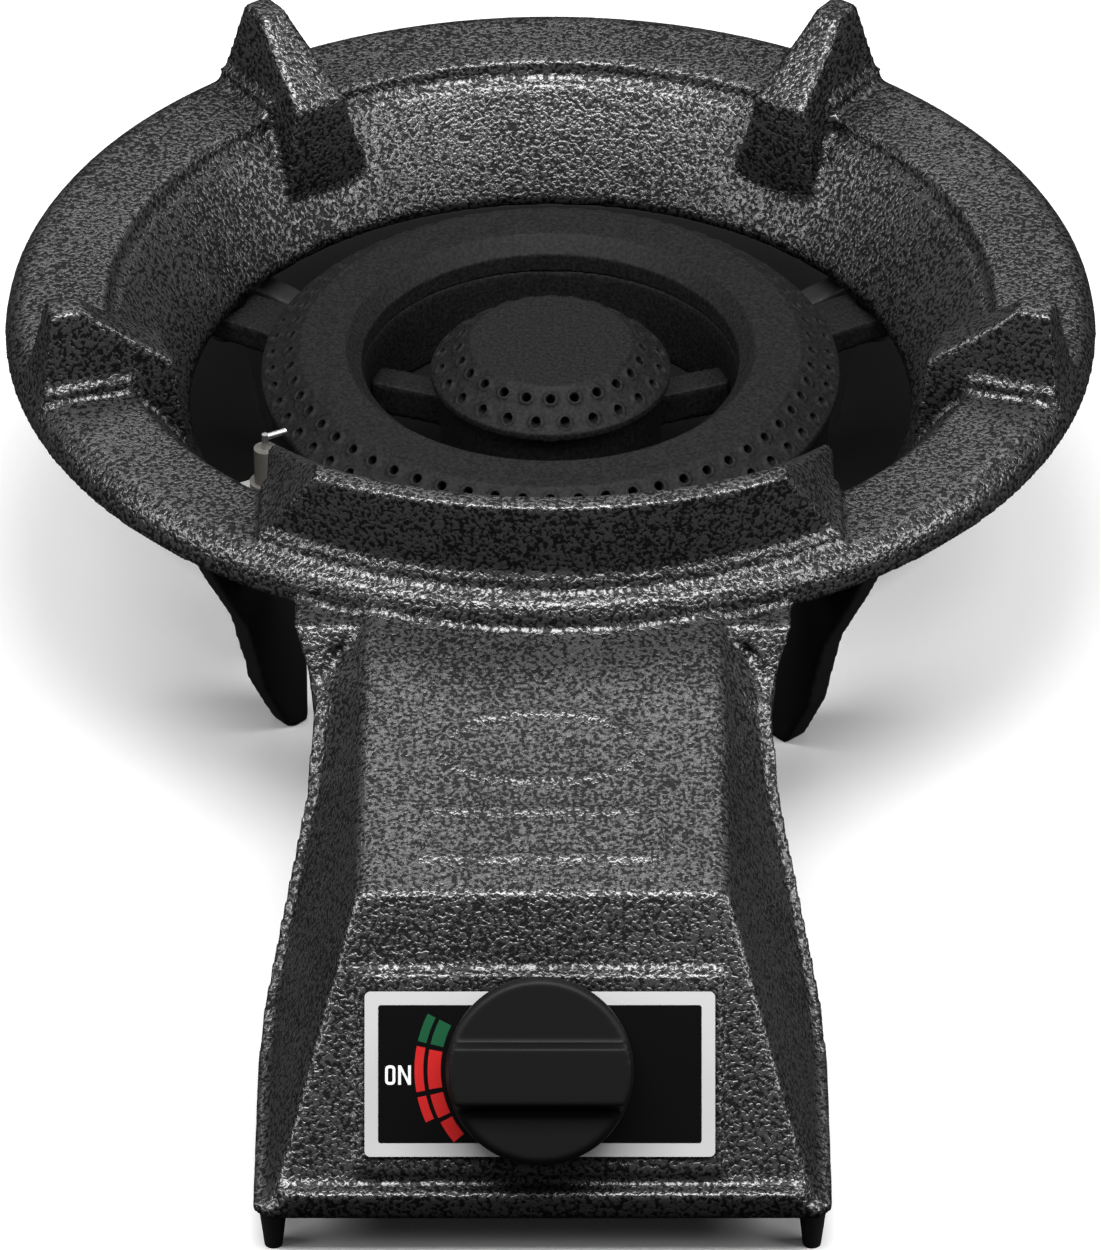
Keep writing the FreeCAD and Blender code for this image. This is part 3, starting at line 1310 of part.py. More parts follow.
def stem_spring():
    """The return spring between the tap's neck and the trip plate, as one plain sleeve."""
    low = -tap_front + z.tap_neck_length + z.clip_gap / 4
    high = trip_top() - z.trip_thickness - z.clip_gap / 4
    sleeve = cylinder("SpringSleeve", z.spring_radius + z.spring_wire / 2, high - low, ZERO, ZERO, low)
    bore = cylinder("SpringBore", z.spring_radius - z.spring_wire / 2, high - low, ZERO, ZERO, low)
    finish(cut("StemSpring", sleeve, [bore]), "stem_spring", on_panel=True)


def bracket():
    """The plate that carries the tap and the igniter, screwed to the panel's two bosses."""
    low = -boss_end - z.bracket_thickness
    width = z.bracket_left + z.bracket_right
    depth = z.bracket_up + z.bracket_down
    plate = box("BracketPlate", width, depth, z.bracket_thickness, (z.bracket_right - z.bracket_left) / 2,
                (z.bracket_up - z.bracket_down) / 2, low)
    length = z.bracket_thickness + z.overrun
    holes = [cylinder("BracketNeckHole", z.tap_neck_radius, length, ZERO, ZERO, low - z.overrun / 2),
             cylinder("BracketPlungerHole", z.plunger_radius + z.trip_gap, length, -z.igniter_x, ZERO,
                      low - z.overrun / 2),
             cylinder("BracketRightHole", z.screw_radius + z.running_gap, length, z.bracket_hole_x, ZERO,
                      low - z.overrun / 2),
             cylinder("BracketLeftHole", z.screw_radius + z.running_gap, length, -z.bracket_left_hole_x,
                      -z.bracket_left_hole_down, low - z.overrun / 2)]
    finish(cut("Bracket", plate, holes), "valve_bracket", on_panel=True)
    length = z.screw_grip + z.bracket_thickness - z.rim_fall
    right = screw("BracketScrewRight", z.screw_radius, length, z.screw_head_radius, z.screw_head_height,
                  z.bracket_hole_x, ZERO, low)
    left = screw("BracketScrewLeft", z.screw_radius, length, z.screw_head_radius, z.screw_head_height,
                 -z.bracket_left_hole_x, -z.bracket_left_hole_down, low)
    finish(group("BracketScrews", [right, left]), "bracket_screws", on_panel=True)


def igniter():
    """The piezo igniter behind the bracket, and the plunger that the trip plate strikes."""
    top = -tap_front
    body = cylinder("IgniterSolid", z.igniter_radius, z.igniter_length, -z.igniter_x, ZERO,
                    top - z.igniter_length)
    tail = cylinder("IgniterTail", z.igniter_tail_radius, z.igniter_tail_length + z.rim_fall, -z.igniter_x,
                    ZERO, top - z.igniter_length - z.igniter_tail_length)
    bore = cylinder("IgniterBore", z.plunger_radius + z.running_gap, z.plunger_inside + z.push_travel
                    + z.trip_gap + z.overrun, -z.igniter_x, ZERO,
                    top - z.plunger_inside - z.push_travel - z.trip_gap)
    finish(cut("Igniter", fuse("IgniterWhole", [body, tail]), [bore]), "igniter_housing", on_panel=True)
    plunger_top = trip_top() - z.trip_thickness
    plunger_from = top - z.plunger_inside
    plunger = cylinder("Plunger", z.plunger_radius, plunger_top - plunger_from, ZERO, ZERO, plunger_from)
    holder = group("PlungerPiece", [plunger])
    plunger.setExpression("Placement.Base.x", (-z.igniter_x).text)
    finish(holder, "igniter_plunger", on_panel=True)


def gas_inlet():
    """Elbow from the tap's port, turned to the back, with its seal and the hose nipple."""
    reach, height = port_place()
    port_end = z.panel_x + z.barrel_bore * 2 + z.port_length
    seal = cylinder("InletSealSolid", z.port_radius, z.seal_thickness, port_end, -reach, height, "right")
    seal_hole = cylinder("InletSealHole", z.port_bore, z.seal_thickness + z.overrun, port_end - z.overrun / 2,
                         -reach, height, "right")
    finish(cut("InletSeal", seal, [seal_hole]), "inlet_seal")
    start = port_end + z.seal_thickness
    side = z.elbow_radius * 2
    elbow_x = start + z.elbow_radius
    cross = box("ElbowBlock", side, side, side, elbow_x, -reach, height - z.elbow_radius)
    arm = cylinder("ElbowArm", z.elbow_radius, z.elbow_length, elbow_x, -reach, height, "back")
    cross_bore = cylinder("ElbowCrossBore", z.port_bore, z.elbow_radius + z.overrun, start - z.overrun,
                          -reach, height, "right")
    arm_bore = cylinder("ElbowArmBore", z.port_bore, z.elbow_length + z.overrun, elbow_x, -reach, height,
                        "back")
    finish(cut("Elbow", fuse("ElbowSolid", [cross, arm]), [cross_bore, arm_bore]), "inlet_elbow")
    nipple_reach = reach - z.elbow_length
    hexagon = doc.addObject("Part::Prism", "NippleHexagon")
    hexagon.Polygon = 6
    bind(hexagon, "Circumradius", z.nipple_hex_radius)
    bind(hexagon, "Height", z.nipple_hex_length)
    put(hexagon, elbow_x, -nipple_reach, height, "back")
    stem_reach = nipple_reach - z.nipple_hex_length
    stem = cylinder("NippleStem", z.nipple_radius, z.nipple_length, elbow_x, -stem_reach, height, "back")
    grooves = []
    for number in range(NIPPLE_GROOVES):
        from_reach = stem_reach - z.nipple_length + z.nipple_groove_pitch * (number + 1)
        ring = cylinder("NippleRing" + str(number), z.nipple_radius + z.overrun, z.nipple_groove_width,
                        elbow_x, -from_reach, height, "back")
        core = cylinder("NippleCore" + str(number), z.nipple_radius - z.nipple_groove_depth,
                        z.nipple_groove_width, elbow_x, -from_reach, height, "back")
        grooves.append(cut("NippleGroove" + str(number), ring, [core]))
    bore = cylinder("NippleBore", z.nipple_bore, z.nipple_hex_length + z.nipple_length + z.overrun * 2,
                    elbow_x, -nipple_reach - z.overrun, height, "back")
    finish(cut("Nipple", fuse("NippleSolid", [hexagon, stem]), [bore] + grooves), "hose_nipple")


def rounded_plate(name, width, depth, height, corner, up):
    """A plate with round corners, as a cross of two blocks and four posts, just below the knob's axis."""
    pieces = [box(name + "Across", width, depth - corner * 2, height, ZERO, -z.bezel_drop, up),
              box(name + "Along", width - corner * 2, depth, height, ZERO, -z.bezel_drop, up)]
    for side, sign in (("Right", 1), ("Left", -1)):
        for end, way in (("Top", 1), ("Bottom", -1)):
            pieces.append(cylinder(name + side + end, corner, height, (width / 2 - corner) * sign,
                                   (depth / 2 - corner) * way - z.bezel_drop, up))
    return fuse(name, pieces)


def bezel():
    """Bright frame plate with the black dial face let into it."""
    plate = rounded_plate("BezelPlate", z.bezel_width, z.bezel_depth, z.bezel_thickness, z.bezel_corner,
                          z.pad_proud)
    face_width = z.bezel_width - z.bezel_border * 2
    face_depth = z.bezel_depth - z.bezel_border * 2
    pocket = rounded_plate("BezelPocket", face_width, face_depth, z.dial_thickness + z.overrun, z.dial_corner,
                           bezel_top - z.dial_thickness)
    hole = cylinder("BezelHole", z.stem_hole_radius, z.bezel_thickness + z.overrun * 2, ZERO, ZERO,
                    z.pad_proud - z.overrun)
    finish(cut("BezelFrame", plate, [pocket, hole]), "bezel_frame", on_panel=True)
    face = rounded_plate("DialPlate", face_width - z.dial_gap * 2, face_depth - z.dial_gap * 2,
                         z.dial_thickness, z.dial_corner, bezel_top - z.dial_thickness)
    face_hole = cylinder("DialHole", z.stem_hole_radius, z.dial_thickness + z.overrun * 2, ZERO, ZERO,
                         bezel_top - z.dial_thickness - z.overrun)
    finish(cut("DialFace", face, [face_hole]), "dial_face", on_panel=True)


def knob():
    """Round knob with a grip bar across it, and the metal insert that takes the stem."""
    disc_top = knob_bottom + z.knob_disc_height
    disc = turned("KnobDisc", [
        (ZERO, knob_bottom), (z.knob_radius, knob_bottom), (z.knob_radius, disc_top - z.knob_edge),
        (z.knob_radius - z.knob_edge, disc_top), (ZERO, disc_top)])
    half = z.knob_grip_width / 2
    foot = half + z.knob_grip_flare
    bar = prism("KnobBar", "YZ_Plane", [
        (-foot - z.knob_grip_drop, disc_top - z.knob_edge),
        (foot - z.knob_grip_drop, disc_top - z.knob_edge), (half - z.knob_grip_drop, knob_top),
        (-half - z.knob_grip_drop, knob_top)], z.knob_radius * 2)
    trim = cylinder("KnobTrim", z.knob_radius - z.knob_grip_inset, z.knob_grip_height + z.knob_edge,
                    ZERO, ZERO, disc_top - z.knob_edge)
    grip = common("KnobGrip", bar, trim)
    socket = cylinder("KnobSocket", z.insert_radius, z.insert_depth, ZERO, ZERO, knob_bottom)
    finish(cut("Knob", fuse("KnobSolid", [disc, grip]), [socket]), "knob", on_panel=True)
    sleeve = cylinder("InsertSleeve", z.insert_radius, z.insert_depth, ZERO, ZERO, knob_bottom)
    bore = cylinder("InsertBore", z.stem_radius, z.stem_into_knob, ZERO, ZERO, knob_bottom)
    finish(cut("KnobInsert", sleeve, [bore]), "knob_insert", on_panel=True)


def electrode():
    """Spark rod in its ceramic, on a plate that is screwed to the burner's shelf."""
    turn = z.electrode_azimuth
    plate_low = lug_height
    plate_from = z.trough_outer_radius
    plate_length = electrode_circle + z.electrode_plate_margin - plate_from
    plate = box("ElectrodePlateSolid", plate_length, z.electrode_shelf_width, z.electrode_plate_thickness,
                plate_from + plate_length / 2, ZERO, plate_low)
    ceramic_hole = cylinder("ElectrodePlateHole", z.ceramic_radius, z.electrode_plate_thickness + z.overrun,
                            electrode_circle, ZERO, plate_low - z.overrun / 2)
    screw_place = z.trough_outer_radius + z.small_screw_head
    screw_hole = cylinder("ElectrodePlateScrewHole", z.small_screw_radius + z.running_gap,
                          z.electrode_plate_thickness + z.overrun, screw_place, ZERO,
                          plate_low - z.overrun / 2)
    finish(spin(cut("ElectrodePlate", plate, [ceramic_hole, screw_hole]), turn, axis_y),
           "electrode_bracket")
    collar_from = plate_low + z.electrode_plate_thickness
    tube = cylinder("CeramicTube", z.ceramic_radius, z.ceramic_above + z.ceramic_below, electrode_circle,
                    ZERO, lug_height - z.ceramic_below)
    collar = cylinder("CeramicCollar", z.ceramic_collar_radius, z.ceramic_collar_height,
                      electrode_circle, ZERO, collar_from)
    bore = cylinder("CeramicBore", z.electrode_rod_radius + z.running_gap, z.rim_height,
                    electrode_circle, ZERO)
    finish(spin(cut("Ceramic", fuse("CeramicSolid", [tube, collar]), [bore]), turn, axis_y),
           "electrode_ceramic")
    rod = cylinder("ElectrodeRod", z.electrode_rod_radius, z.electrode_above + z.electrode_below,
                   electrode_circle, ZERO, electrode_bottom)
    hook_height = lug_height + z.electrode_above - z.electrode_rod_radius
    hook = cylinder("ElectrodeHook", z.electrode_rod_radius, z.electrode_reach,
                    electrode_circle - z.electrode_reach, ZERO, hook_height, "right")
    finish(spin(fuse("ElectrodeTip", [rod, hook]), turn, axis_y), "electrode_tip")
    grip = z.electrode_shelf_thickness + z.electrode_plate_thickness
    small = screw("ElectrodeScrew", z.small_screw_radius, grip, z.small_screw_head,
                  z.small_screw_head_height, screw_place, ZERO, collar_from, down=False)
    finish(spin(small, turn, axis_y), "electrode_screw")


def wire_points():
    """Route of the ignition wire, from the igniter's tail under the dish to the spark rod."""
    depth = float(tap_front) + float(z.igniter_length) + float(z.igniter_tail_length)
    lean = math.radians(float(panel_tilt))
    start = FreeCAD.Vector(float(z.panel_x) - float(z.igniter_x),
                           -float(dial_reach) + depth * math.sin(lean),
                           float(dial_height) - depth * math.cos(lean))
    out = FreeCAD.Vector(0, math.sin(lean), -math.cos(lean))
    around = math.radians(float(z.electrode_azimuth))
    circle = float(electrode_circle)
    end = FreeCAD.Vector(circle * math.cos(around), circle * math.sin(around), float(electrode_bottom))
    route = [start, start + out * float(z.wire_lead_length)]
    for left, reach, height in (
            (z.wire_turn_x, z.wire_turn_reach, z.wire_turn_height),
            (z.wire_run_x, z.wire_run_front_reach, z.wire_run_height),
            (z.wire_run_x, z.wire_run_back_reach, z.wire_run_height),
            (z.wire_bend_x, z.wire_bend_reach, z.wire_bend_height)):
        route.append(FreeCAD.Vector(-float(left), -float(reach), float(height)))
    return route + [end - FreeCAD.Vector(0, 0, float(z.wire_rise)), end]


def round_path(points):
    """Straight runs joined by arcs as large as the runs beside them allow."""
    edges = []
    last = points[0]
    for before, corner, after in zip(points, points[1:], points[2:]):
        way_in = corner - before
        way_out = after - corner
        short = min(way_in.Length, way_out.Length)
        step_in = FreeCAD.Vector(way_in).normalize()
        step_out = FreeCAD.Vector(way_out).normalize()
        turn = step_in.getAngle(step_out)
        back = short * ARC_RUN_SHARE
        radius = back / math.tan(turn / 2)
        print("wire arc radius", round(radius, 1))
        arc_start = corner - step_in * back
        arc_end = corner + step_out * back
        to_centre = FreeCAD.Vector(step_out - step_in).normalize()
        centre = corner + to_centre * math.hypot(radius, back)
        middle = centre - to_centre * radius
        edges.append(Part.LineSegment(last, arc_start).toShape())
        edges.append(Part.Arc(arc_start, middle, arc_end).toShape())
        last = arc_end
    edges.append(Part.LineSegment(last, points[-1]).toShape())
    return Part.Wire(edges)


def ignition_wire():
    points = wire_points()
    path = round_path(points)
    radius = float(z.wire_radius)
    circle = Part.Circle(points[0], points[1] - points[0], radius)
    shape = path.makePipeShell([Part.Wire([circle.toShape()])], True, False)
    expected = math.pi * radius * radius * path.Length
    print("wire length", round(path.Length, 1), "volume share", round(shape.Volume / expected, 4))
    feature("IgnitionWire", "ignition_wire", shape)
    run_x = points[3].x
    run_up = points[3].z
    block_end = float(inner_tube_x) - float(z.tube_radius) / 2
    block_start = run_x - float(z.clip_block_width) / 2
    reach = float(z.clip_reach)
    block = Part.makeBox(block_end - block_start, float(z.clip_block_width), float(z.clip_block_height),
                         FreeCAD.Vector(block_start, -reach, run_up - float(z.clip_block_height) / 2))
    span = float(z.rim_radius) * 2
    back = FreeCAD.Vector(0, 1, 0)
    tube = Part.makeCylinder(float(z.tube_radius), span,
                             FreeCAD.Vector(float(inner_tube_x), -span, float(tube_height)), back)
    passage = Part.makeCylinder(radius, span, FreeCAD.Vector(run_x, -span, run_up), back)
    feature("WireClip", "wire_clip", block.cut(tube).cut(passage))


def check_and_write():
    doc.recompute()
    failed = []
    for item in doc.Objects:
        for state in item.State:
            if state in ("Invalid", "Error"):
                failed.append(item.Name + " is " + state)
    if failed:
        raise RuntimeError(", ".join(failed))
    os.makedirs("parts", exist_ok=True)
    for item in FINISHED:
        shape = item.Shape
        if shape.isNull() or not shape.isValid() or not shape.Solids:
            raise RuntimeError(item.Label + " has no valid shape")
    for item in FINISHED:
        item.Shape.exportStep("parts/" + item.Label + ".step")
        bounds = item.Shape.BoundBox
        print(item.Label, len(item.Shape.Solids), round(item.Shape.Volume),
              [round(v, 1) for v in (bounds.XMin, bounds.YMin, bounds.ZMin,
                                     bounds.XMax, bounds.YMax, bounds.ZMax)])


cast_body()
legs()
leg_bolts()
front_feet()
burner_base()
burner_bolts()
burner_caps()
shutters()
nozzles()
tap_body()
tap_plug()
stem_and_clip()
trip_plate()
stem_spring()
bracket()
igniter()
gas_inlet()
bezel()
knob()
electrode()
ignition_wire()
check_and_write()
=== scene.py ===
"""Visual model of the single-burner gas stove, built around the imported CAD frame.

Metres, +Z up, +Y to the back. Lengths on the stove are written in millimetres times MM, and
those of the studio round it, its camera, lamps and floor, in metres.
"""
import json
import math

import bpy
from mathutils import Matrix, Vector


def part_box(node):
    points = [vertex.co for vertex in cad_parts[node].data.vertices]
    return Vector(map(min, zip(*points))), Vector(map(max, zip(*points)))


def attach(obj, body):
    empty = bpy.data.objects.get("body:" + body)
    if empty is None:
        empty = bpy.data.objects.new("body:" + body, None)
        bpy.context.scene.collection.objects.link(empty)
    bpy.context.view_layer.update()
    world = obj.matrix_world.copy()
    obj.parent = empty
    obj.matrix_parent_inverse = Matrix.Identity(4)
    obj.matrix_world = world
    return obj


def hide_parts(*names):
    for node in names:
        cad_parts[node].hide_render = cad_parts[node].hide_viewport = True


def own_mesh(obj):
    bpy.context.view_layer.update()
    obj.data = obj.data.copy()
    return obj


MM = 0.001

# Camera: where the photograph was taken from, and its lens, from a focal length in photograph pixels
CAMERA_ELEVATION = math.radians(35.4)
CAMERA_DISTANCE = 2.8
CAMERA_TARGET = Vector((0.0, 24.4 * MM, 29.35 * MM))
CAMERA_CLIP_END = 50.0
SENSOR = 24.0
PHOTO_HEIGHT_PIXELS = 1250
FOCAL_LENGTH_PIXELS = 9156
LENS = SENSOR * FOCAL_LENGTH_PIXELS / PHOTO_HEIGHT_PIXELS

# Castings and mouldings that get soft edges: their nodes, voxel size and smoothing passes
ROUNDED_NODES = (
    (("cast_body",), 1.15 * MM, 5),
    (("leg_front_left", "leg_front_right", "leg_rear_left", "leg_rear_right"), 1.1 * MM, 8),
    (("knob",), 0.5 * MM, 12),
    (("burner_ring", "burner_cup", "mixing_tubes"), 1.0 * MM, 4),
    (("outer_burner_cap", "inner_burner_cap"), 0.5 * MM, 3),
)
SMOOTHING_FACTOR = 0.5

# Bevel along the sharp edges of the bezel
BEVEL_WIDTH = 0.35 * MM
BEVEL_SEGMENTS = 2
BEVEL_ANGLE = math.radians(35.0)

# Hammertone paint: one cell of its pattern, how its noise looks, and the slow drift over many cells
CELL = 1.25 * MM
CELL_DETAIL = 1.2
CELL_ROUGHNESS = 0.5
CELL_DISTORTION = 0.35
DRIFT_SCALE_SHARE = 0.035
DRIFT_DETAIL = 2.0
DRIFT_WEIGHT = 0.16

# Between which values of that pattern the pale network sets in, and the raised lumps, and their relief
NETWORK_RISE = (0.51, 0.63)
LUMP_RISE = (0.44, 0.72)
LUMP_STRENGTH = 0.42
LUMP_HEIGHT = 0.40 * MM

# Colour, roughness and gloss of the dark pits and of the network between them
PIT_COLOUR = (0.003, 0.003, 0.0033)
NETWORK_COLOUR = (0.031, 0.031, 0.032)
PIT_ROUGHNESS = 0.42
NETWORK_ROUGHNESS = 0.26
NETWORK_GLOSS = 0.58
PIT_GLOSS_SHARE = 0.2
PAINT_IOR = 1.9

# Painted shade: the paint's colour and gloss are darkened in creases, where shade falls: how far off a
# wall still counts, and openness and tone at both ends
PAINTED_SHADE_REACH = 50 * MM
PAINTED_SHADE_SAMPLES = 8
PAINTED_SHADE_RISE = (0.42, 0.97)
PAINTED_SHADE_TONES = (0.10, 1.0)

# Sand grain of the burner and the legs: noise scale, detail and relief, and their tones
GRAIN_HEIGHT = 0.3 * MM
BURNER_GRAIN_SCALE = 900.0
BURNER_GRAIN_DETAIL = 3.0
BURNER_GRAIN_STRENGTH = 0.4
BURNER_RISE = (0.35, 0.7)
BURNER_TONES = (0.004, 0.014)
LEG_GRAIN_SCALE = 500.0
LEG_GRAIN_DETAIL = 2.0
LEG_GRAIN_STRENGTH = 0.25
LEG_TONE = 0.014

# Faint haze on bare metal: noise scale and detail, and how far the roughness strays either way
HAZE_SCALE = 60.0
HAZE_DETAIL = 2.0
HAZE_RISE = (0.3, 0.7)
HAZE_SHARE = 0.2

# Dial marks, on circles about the knob: inner and outer radius, then start and end angle in degrees
MARK_RED = (0.50, 0.010, 0.010)
MARK_GREEN = (0.003, 0.075, 0.028)
MARK_WHITE = (0.78, 0.78, 0.78)
MARK_ROUGHNESS = 0.35
MARK_HEIGHT = 0.12 * MM
OUTER_RING = (32.9 * MM, 35.4 * MM)
INNER_RING = (28.0 * MM, 31.7 * MM)
MARKS = (
    ("mark_green_outer", OUTER_RING, 153.4, 166.7, MARK_GREEN),
    ("mark_green_inner", INNER_RING, 153.4, 166.7, MARK_GREEN),
    ("mark_red_outer_a", OUTER_RING, 169.0, 190.2, MARK_RED),
    ("mark_red_inner_a", INNER_RING, 169.5, 190.0, MARK_RED),
    ("mark_red_outer_b", OUTER_RING, 192.7, 204.7, MARK_RED),
    ("mark_red_inner_b", INNER_RING, 192.8, 205.4, MARK_RED),
    ("mark_red_inner_c", INNER_RING, 207.8, 220.0, MARK_RED),
)
ARC_STEPS = 12

# ON, left of the arcs: where the O starts, the sizes of both letters, and the pen that draws them
LETTERS_LEFT = -43.7 * MM
LETTERS_FOOT = -4.2 * MM
LETTER_HEIGHT = 5.5 * MM
LETTER_GAP = 0.8 * MM
PEN = 0.8 * MM
O_WIDTH = 2.9 * MM
O_OUTER_CORNER = 1.1 * MM
O_INNER_CORNER = 0.4 * MM
CORNER_STEPS = 5
N_WIDTH = 3.6 * MM
N_SLANT_END = PEN * 1.9

# Return spring of the tap: its wire, its turns with a closed one at each end, and its mesh's steps
SPRING_WIRE = 0.7 * MM
SPRING_TURNS = 7
TURN_STEPS = 16
WIRE_SIDES = 6

# Lamps: name, place, what it points at, width and height, and watts
LAMPS = (
    ("top_light", (0.0, -0.45, 1.5), (0.0, -0.05, 0.1), (1.8, 0.7), 44.0),
    ("back_light", (0.0, 1.15, 1.4), (0.0, 0.0, 0.08), (1.8, 0.5), 7.5),
    ("left_light", (-1.2, -0.35, 0.75), (-0.1, -0.05, 0.08), (0.9, 0.4), 6.5),
    ("right_light", (1.2, -0.35, 0.75), (0.1, -0.05, 0.08), (0.9, 0.4), 7.5),
)

# Background: how strongly it lights the stove, and how bright the camera sees it
WORLD_LIGHT = 0.08
WORLD_SEEN = 1.0

# Floor: half its side, its tone to bounced light and to the camera, and where it fades to white
FLOOR_HALF = 1.5
FLOOR_MIDDLE = (0.0, 0.0, 0.0)
FLOOR_TONES = (0.025, 0.88)
FLOOR_FADE = (0.45, 0.85)

# Painted shadow on the floor behind and below the burner: its middle, reach, full share and tone
PAINTED_SHADOW_MIDDLE = (0.0, 189 * MM, 0.0)
PAINTED_SHADOW_REACH = 147 * MM
PAINTED_SHADOW_FULL_SHARE = 0.82
PAINTED_SHADOW_TONE = 0.015

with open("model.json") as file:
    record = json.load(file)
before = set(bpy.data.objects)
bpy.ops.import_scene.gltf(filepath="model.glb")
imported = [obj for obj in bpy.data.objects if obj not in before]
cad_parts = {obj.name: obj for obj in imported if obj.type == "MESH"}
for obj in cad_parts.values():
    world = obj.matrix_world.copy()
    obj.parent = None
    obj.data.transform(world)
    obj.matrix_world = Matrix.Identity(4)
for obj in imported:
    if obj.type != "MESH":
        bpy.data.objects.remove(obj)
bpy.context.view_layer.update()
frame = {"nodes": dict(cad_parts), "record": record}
nodes = frame["nodes"]

# The sloping panel, from the knob's own joints, and how high the dial's face stands above it
joints = {joint["name"]: joint for joint in frame["record"]["behaviour"]["joints"]}
hinge = joints["knob_turn"]
PANEL_ORIGIN = Vector(hinge["pos_m"])
PANEL_NORMAL = Vector(hinge["axis"])
PANEL_ACROSS = Vector((1.0, 0.0, 0.0))
PANEL_UP = PANEL_NORMAL.cross(PANEL_ACROSS)
DIAL_TOP = 3.2 * MM
DIAL_PLACE = PANEL_ORIGIN + PANEL_NORMAL * DIAL_TOP


def panel_matrix(place):
    """X across, Y up the slope and Z straight out of the panel, with its origin at a place."""
    turn = Matrix((PANEL_ACROSS, PANEL_UP, PANEL_NORMAL)).transposed()
    return Matrix.Translation(place) @ turn.to_4x4()


def grey(value):
    return (value, value, value)


def opaque(colour):
    return tuple(colour) + (1.0,)


class Shader:
    """A material, with short calls that add its nodes and link them."""

    def __init__(self, name):
        self.material = bpy.data.materials.new(name)
        self.material.use_nodes = True
        self.tree = self.material.node_tree
        self.bsdf = self.tree.nodes["Principled BSDF"]

    def add(self, kind, **inputs):
        """A new node, with values for the inputs that are named."""
        node = self.tree.nodes.new(kind)
        for key, value in inputs.items():
            node.inputs[key].default_value = value
        return node

    def link(self, output, target):
        self.tree.links.new(output, target)

    def coordinates(self):
        return self.add("ShaderNodeTexCoord").outputs["Object"]

    def noise(self, **inputs):
        """Noise in the object's own coordinates."""
        node = self.add("ShaderNodeTexNoise", **inputs)
        self.link(self.coordinates(), node.inputs["Vector"])
        return node.outputs["Fac"]

    def distance(self, place):
        """How far each point lies from a place in the object's own coordinates."""
        node = self.add("ShaderNodeVectorMath")
        node.operation = "DISTANCE"
        node.inputs[1].default_value = place
        self.link(self.coordinates(), node.inputs[0])
        return node.outputs["Value"]

    def ramp(self, source, rise=(0.0, 1.0), tones=(0.0, 1.0)):
        """Grey from the first tone to the second, while the source rises from one value to another."""
        node = self.add("ShaderNodeValToRGB")
        for element, position, tone in zip(node.color_ramp.elements, rise, tones):
            element.position = position
            element.color = opaque(grey(tone))
        self.link(source, node.inputs["Fac"])
        return node.outputs["Color"]

    def mix(self, share, low, high):
        """The low colour where the share is 0, and the high one where it is 1."""
        node = self.add("ShaderNodeMix")
        node.data_type = "RGBA"
        node.inputs["A"].default_value = opaque(low)
        node.inputs["B"].default_value = opaque(high)
        self.link(share, node.inputs["Factor"])
        return node.outputs["Result"]

    def times(self, first, second):
        node = self.add("ShaderNodeVectorMath")
        node.operation = "MULTIPLY"
        self.link(first, node.inputs[0])
        self.link(second, node.inputs[1])
        return node.outputs["Vector"]

    def bump(self, height, strength, distance):
        """Relief on the surface, as high as the distance where the height is 1."""
        node = self.add("ShaderNodeBump", Strength=strength, Distance=distance)
        self.link(height, node.inputs["Height"])
        self.link(node.outputs["Normal"], self.bsdf.inputs["Normal"])


def plain(name, colour, roughness, metallic=0.0, specular=0.5):
    """An even surface, which other functions add their pattern to."""
    shader = Shader(name)
    shader.bsdf.inputs["Base Color"].default_value = opaque(colour)
    shader.bsdf.inputs["Roughness"].default_value = roughness
    shader.bsdf.inputs["Metallic"].default_value = metallic
    shader.bsdf.inputs["Specular IOR Level"].default_value = specular
    return shader


def hammertone():
    """Black hammertone paint: a pale worm-like network round small dark pits, with painted shade in
    creases.
    """
    shader = plain("hammertone_paint", PIT_COLOUR, PIT_ROUGHNESS)
    surface = shader.bsdf.inputs
    surface["IOR"].default_value = PAINT_IOR
    cells = shader.noise(Scale=1.0 / CELL, Detail=CELL_DETAIL, Roughness=CELL_ROUGHNESS,
                         Distortion=CELL_DISTORTION)
    drift = shader.noise(Scale=DRIFT_SCALE_SHARE / CELL, Detail=DRIFT_DETAIL)
    weighted = shader.add("ShaderNodeMath")
    weighted.operation = "MULTIPLY_ADD"
    weighted.inputs[1].default_value = DRIFT_WEIGHT
    shader.link(drift, weighted.inputs[0])
    shader.link(cells, weighted.inputs[2])
    pattern = weighted.outputs["Value"]
    network = shader.ramp(pattern, NETWORK_RISE)
    # Painted shade: ambient occlusion darkens the paint's colour and gloss in creases and hollows
    painted_shade_probe = shader.add("ShaderNodeAmbientOcclusion", Distance=PAINTED_SHADE_REACH)
    painted_shade_probe.samples = PAINTED_SHADE_SAMPLES
    painted_shade = shader.ramp(painted_shade_probe.outputs["AO"], PAINTED_SHADE_RISE, PAINTED_SHADE_TONES)
    tone = shader.mix(network, PIT_COLOUR, NETWORK_COLOUR)
    shader.link(shader.times(tone, painted_shade), surface["Base Color"])
    roughness = shader.ramp(network, tones=(PIT_ROUGHNESS, NETWORK_ROUGHNESS))
    shader.link(roughness, surface["Roughness"])
    gloss = shader.mix(network, grey(PIT_GLOSS_SHARE * NETWORK_GLOSS), grey(NETWORK_GLOSS))
    shader.link(shader.times(gloss, painted_shade), surface["Specular IOR Level"])
    shader.bump(shader.ramp(pattern, LUMP_RISE), LUMP_STRENGTH, LUMP_HEIGHT)
    return shader.material


def burner_iron():
    """Dark casting with a fine sand grain."""
    shader = plain("burner_iron", grey(BURNER_TONES[0]), roughness=0.6, specular=0.14)
    grain = shader.noise(Scale=BURNER_GRAIN_SCALE, Detail=BURNER_GRAIN_DETAIL)
    shader.link(shader.ramp(grain, BURNER_RISE, BURNER_TONES), shader.bsdf.inputs["Base Color"])
    shader.bump(grain, BURNER_GRAIN_STRENGTH, GRAIN_HEIGHT)
    return shader.material


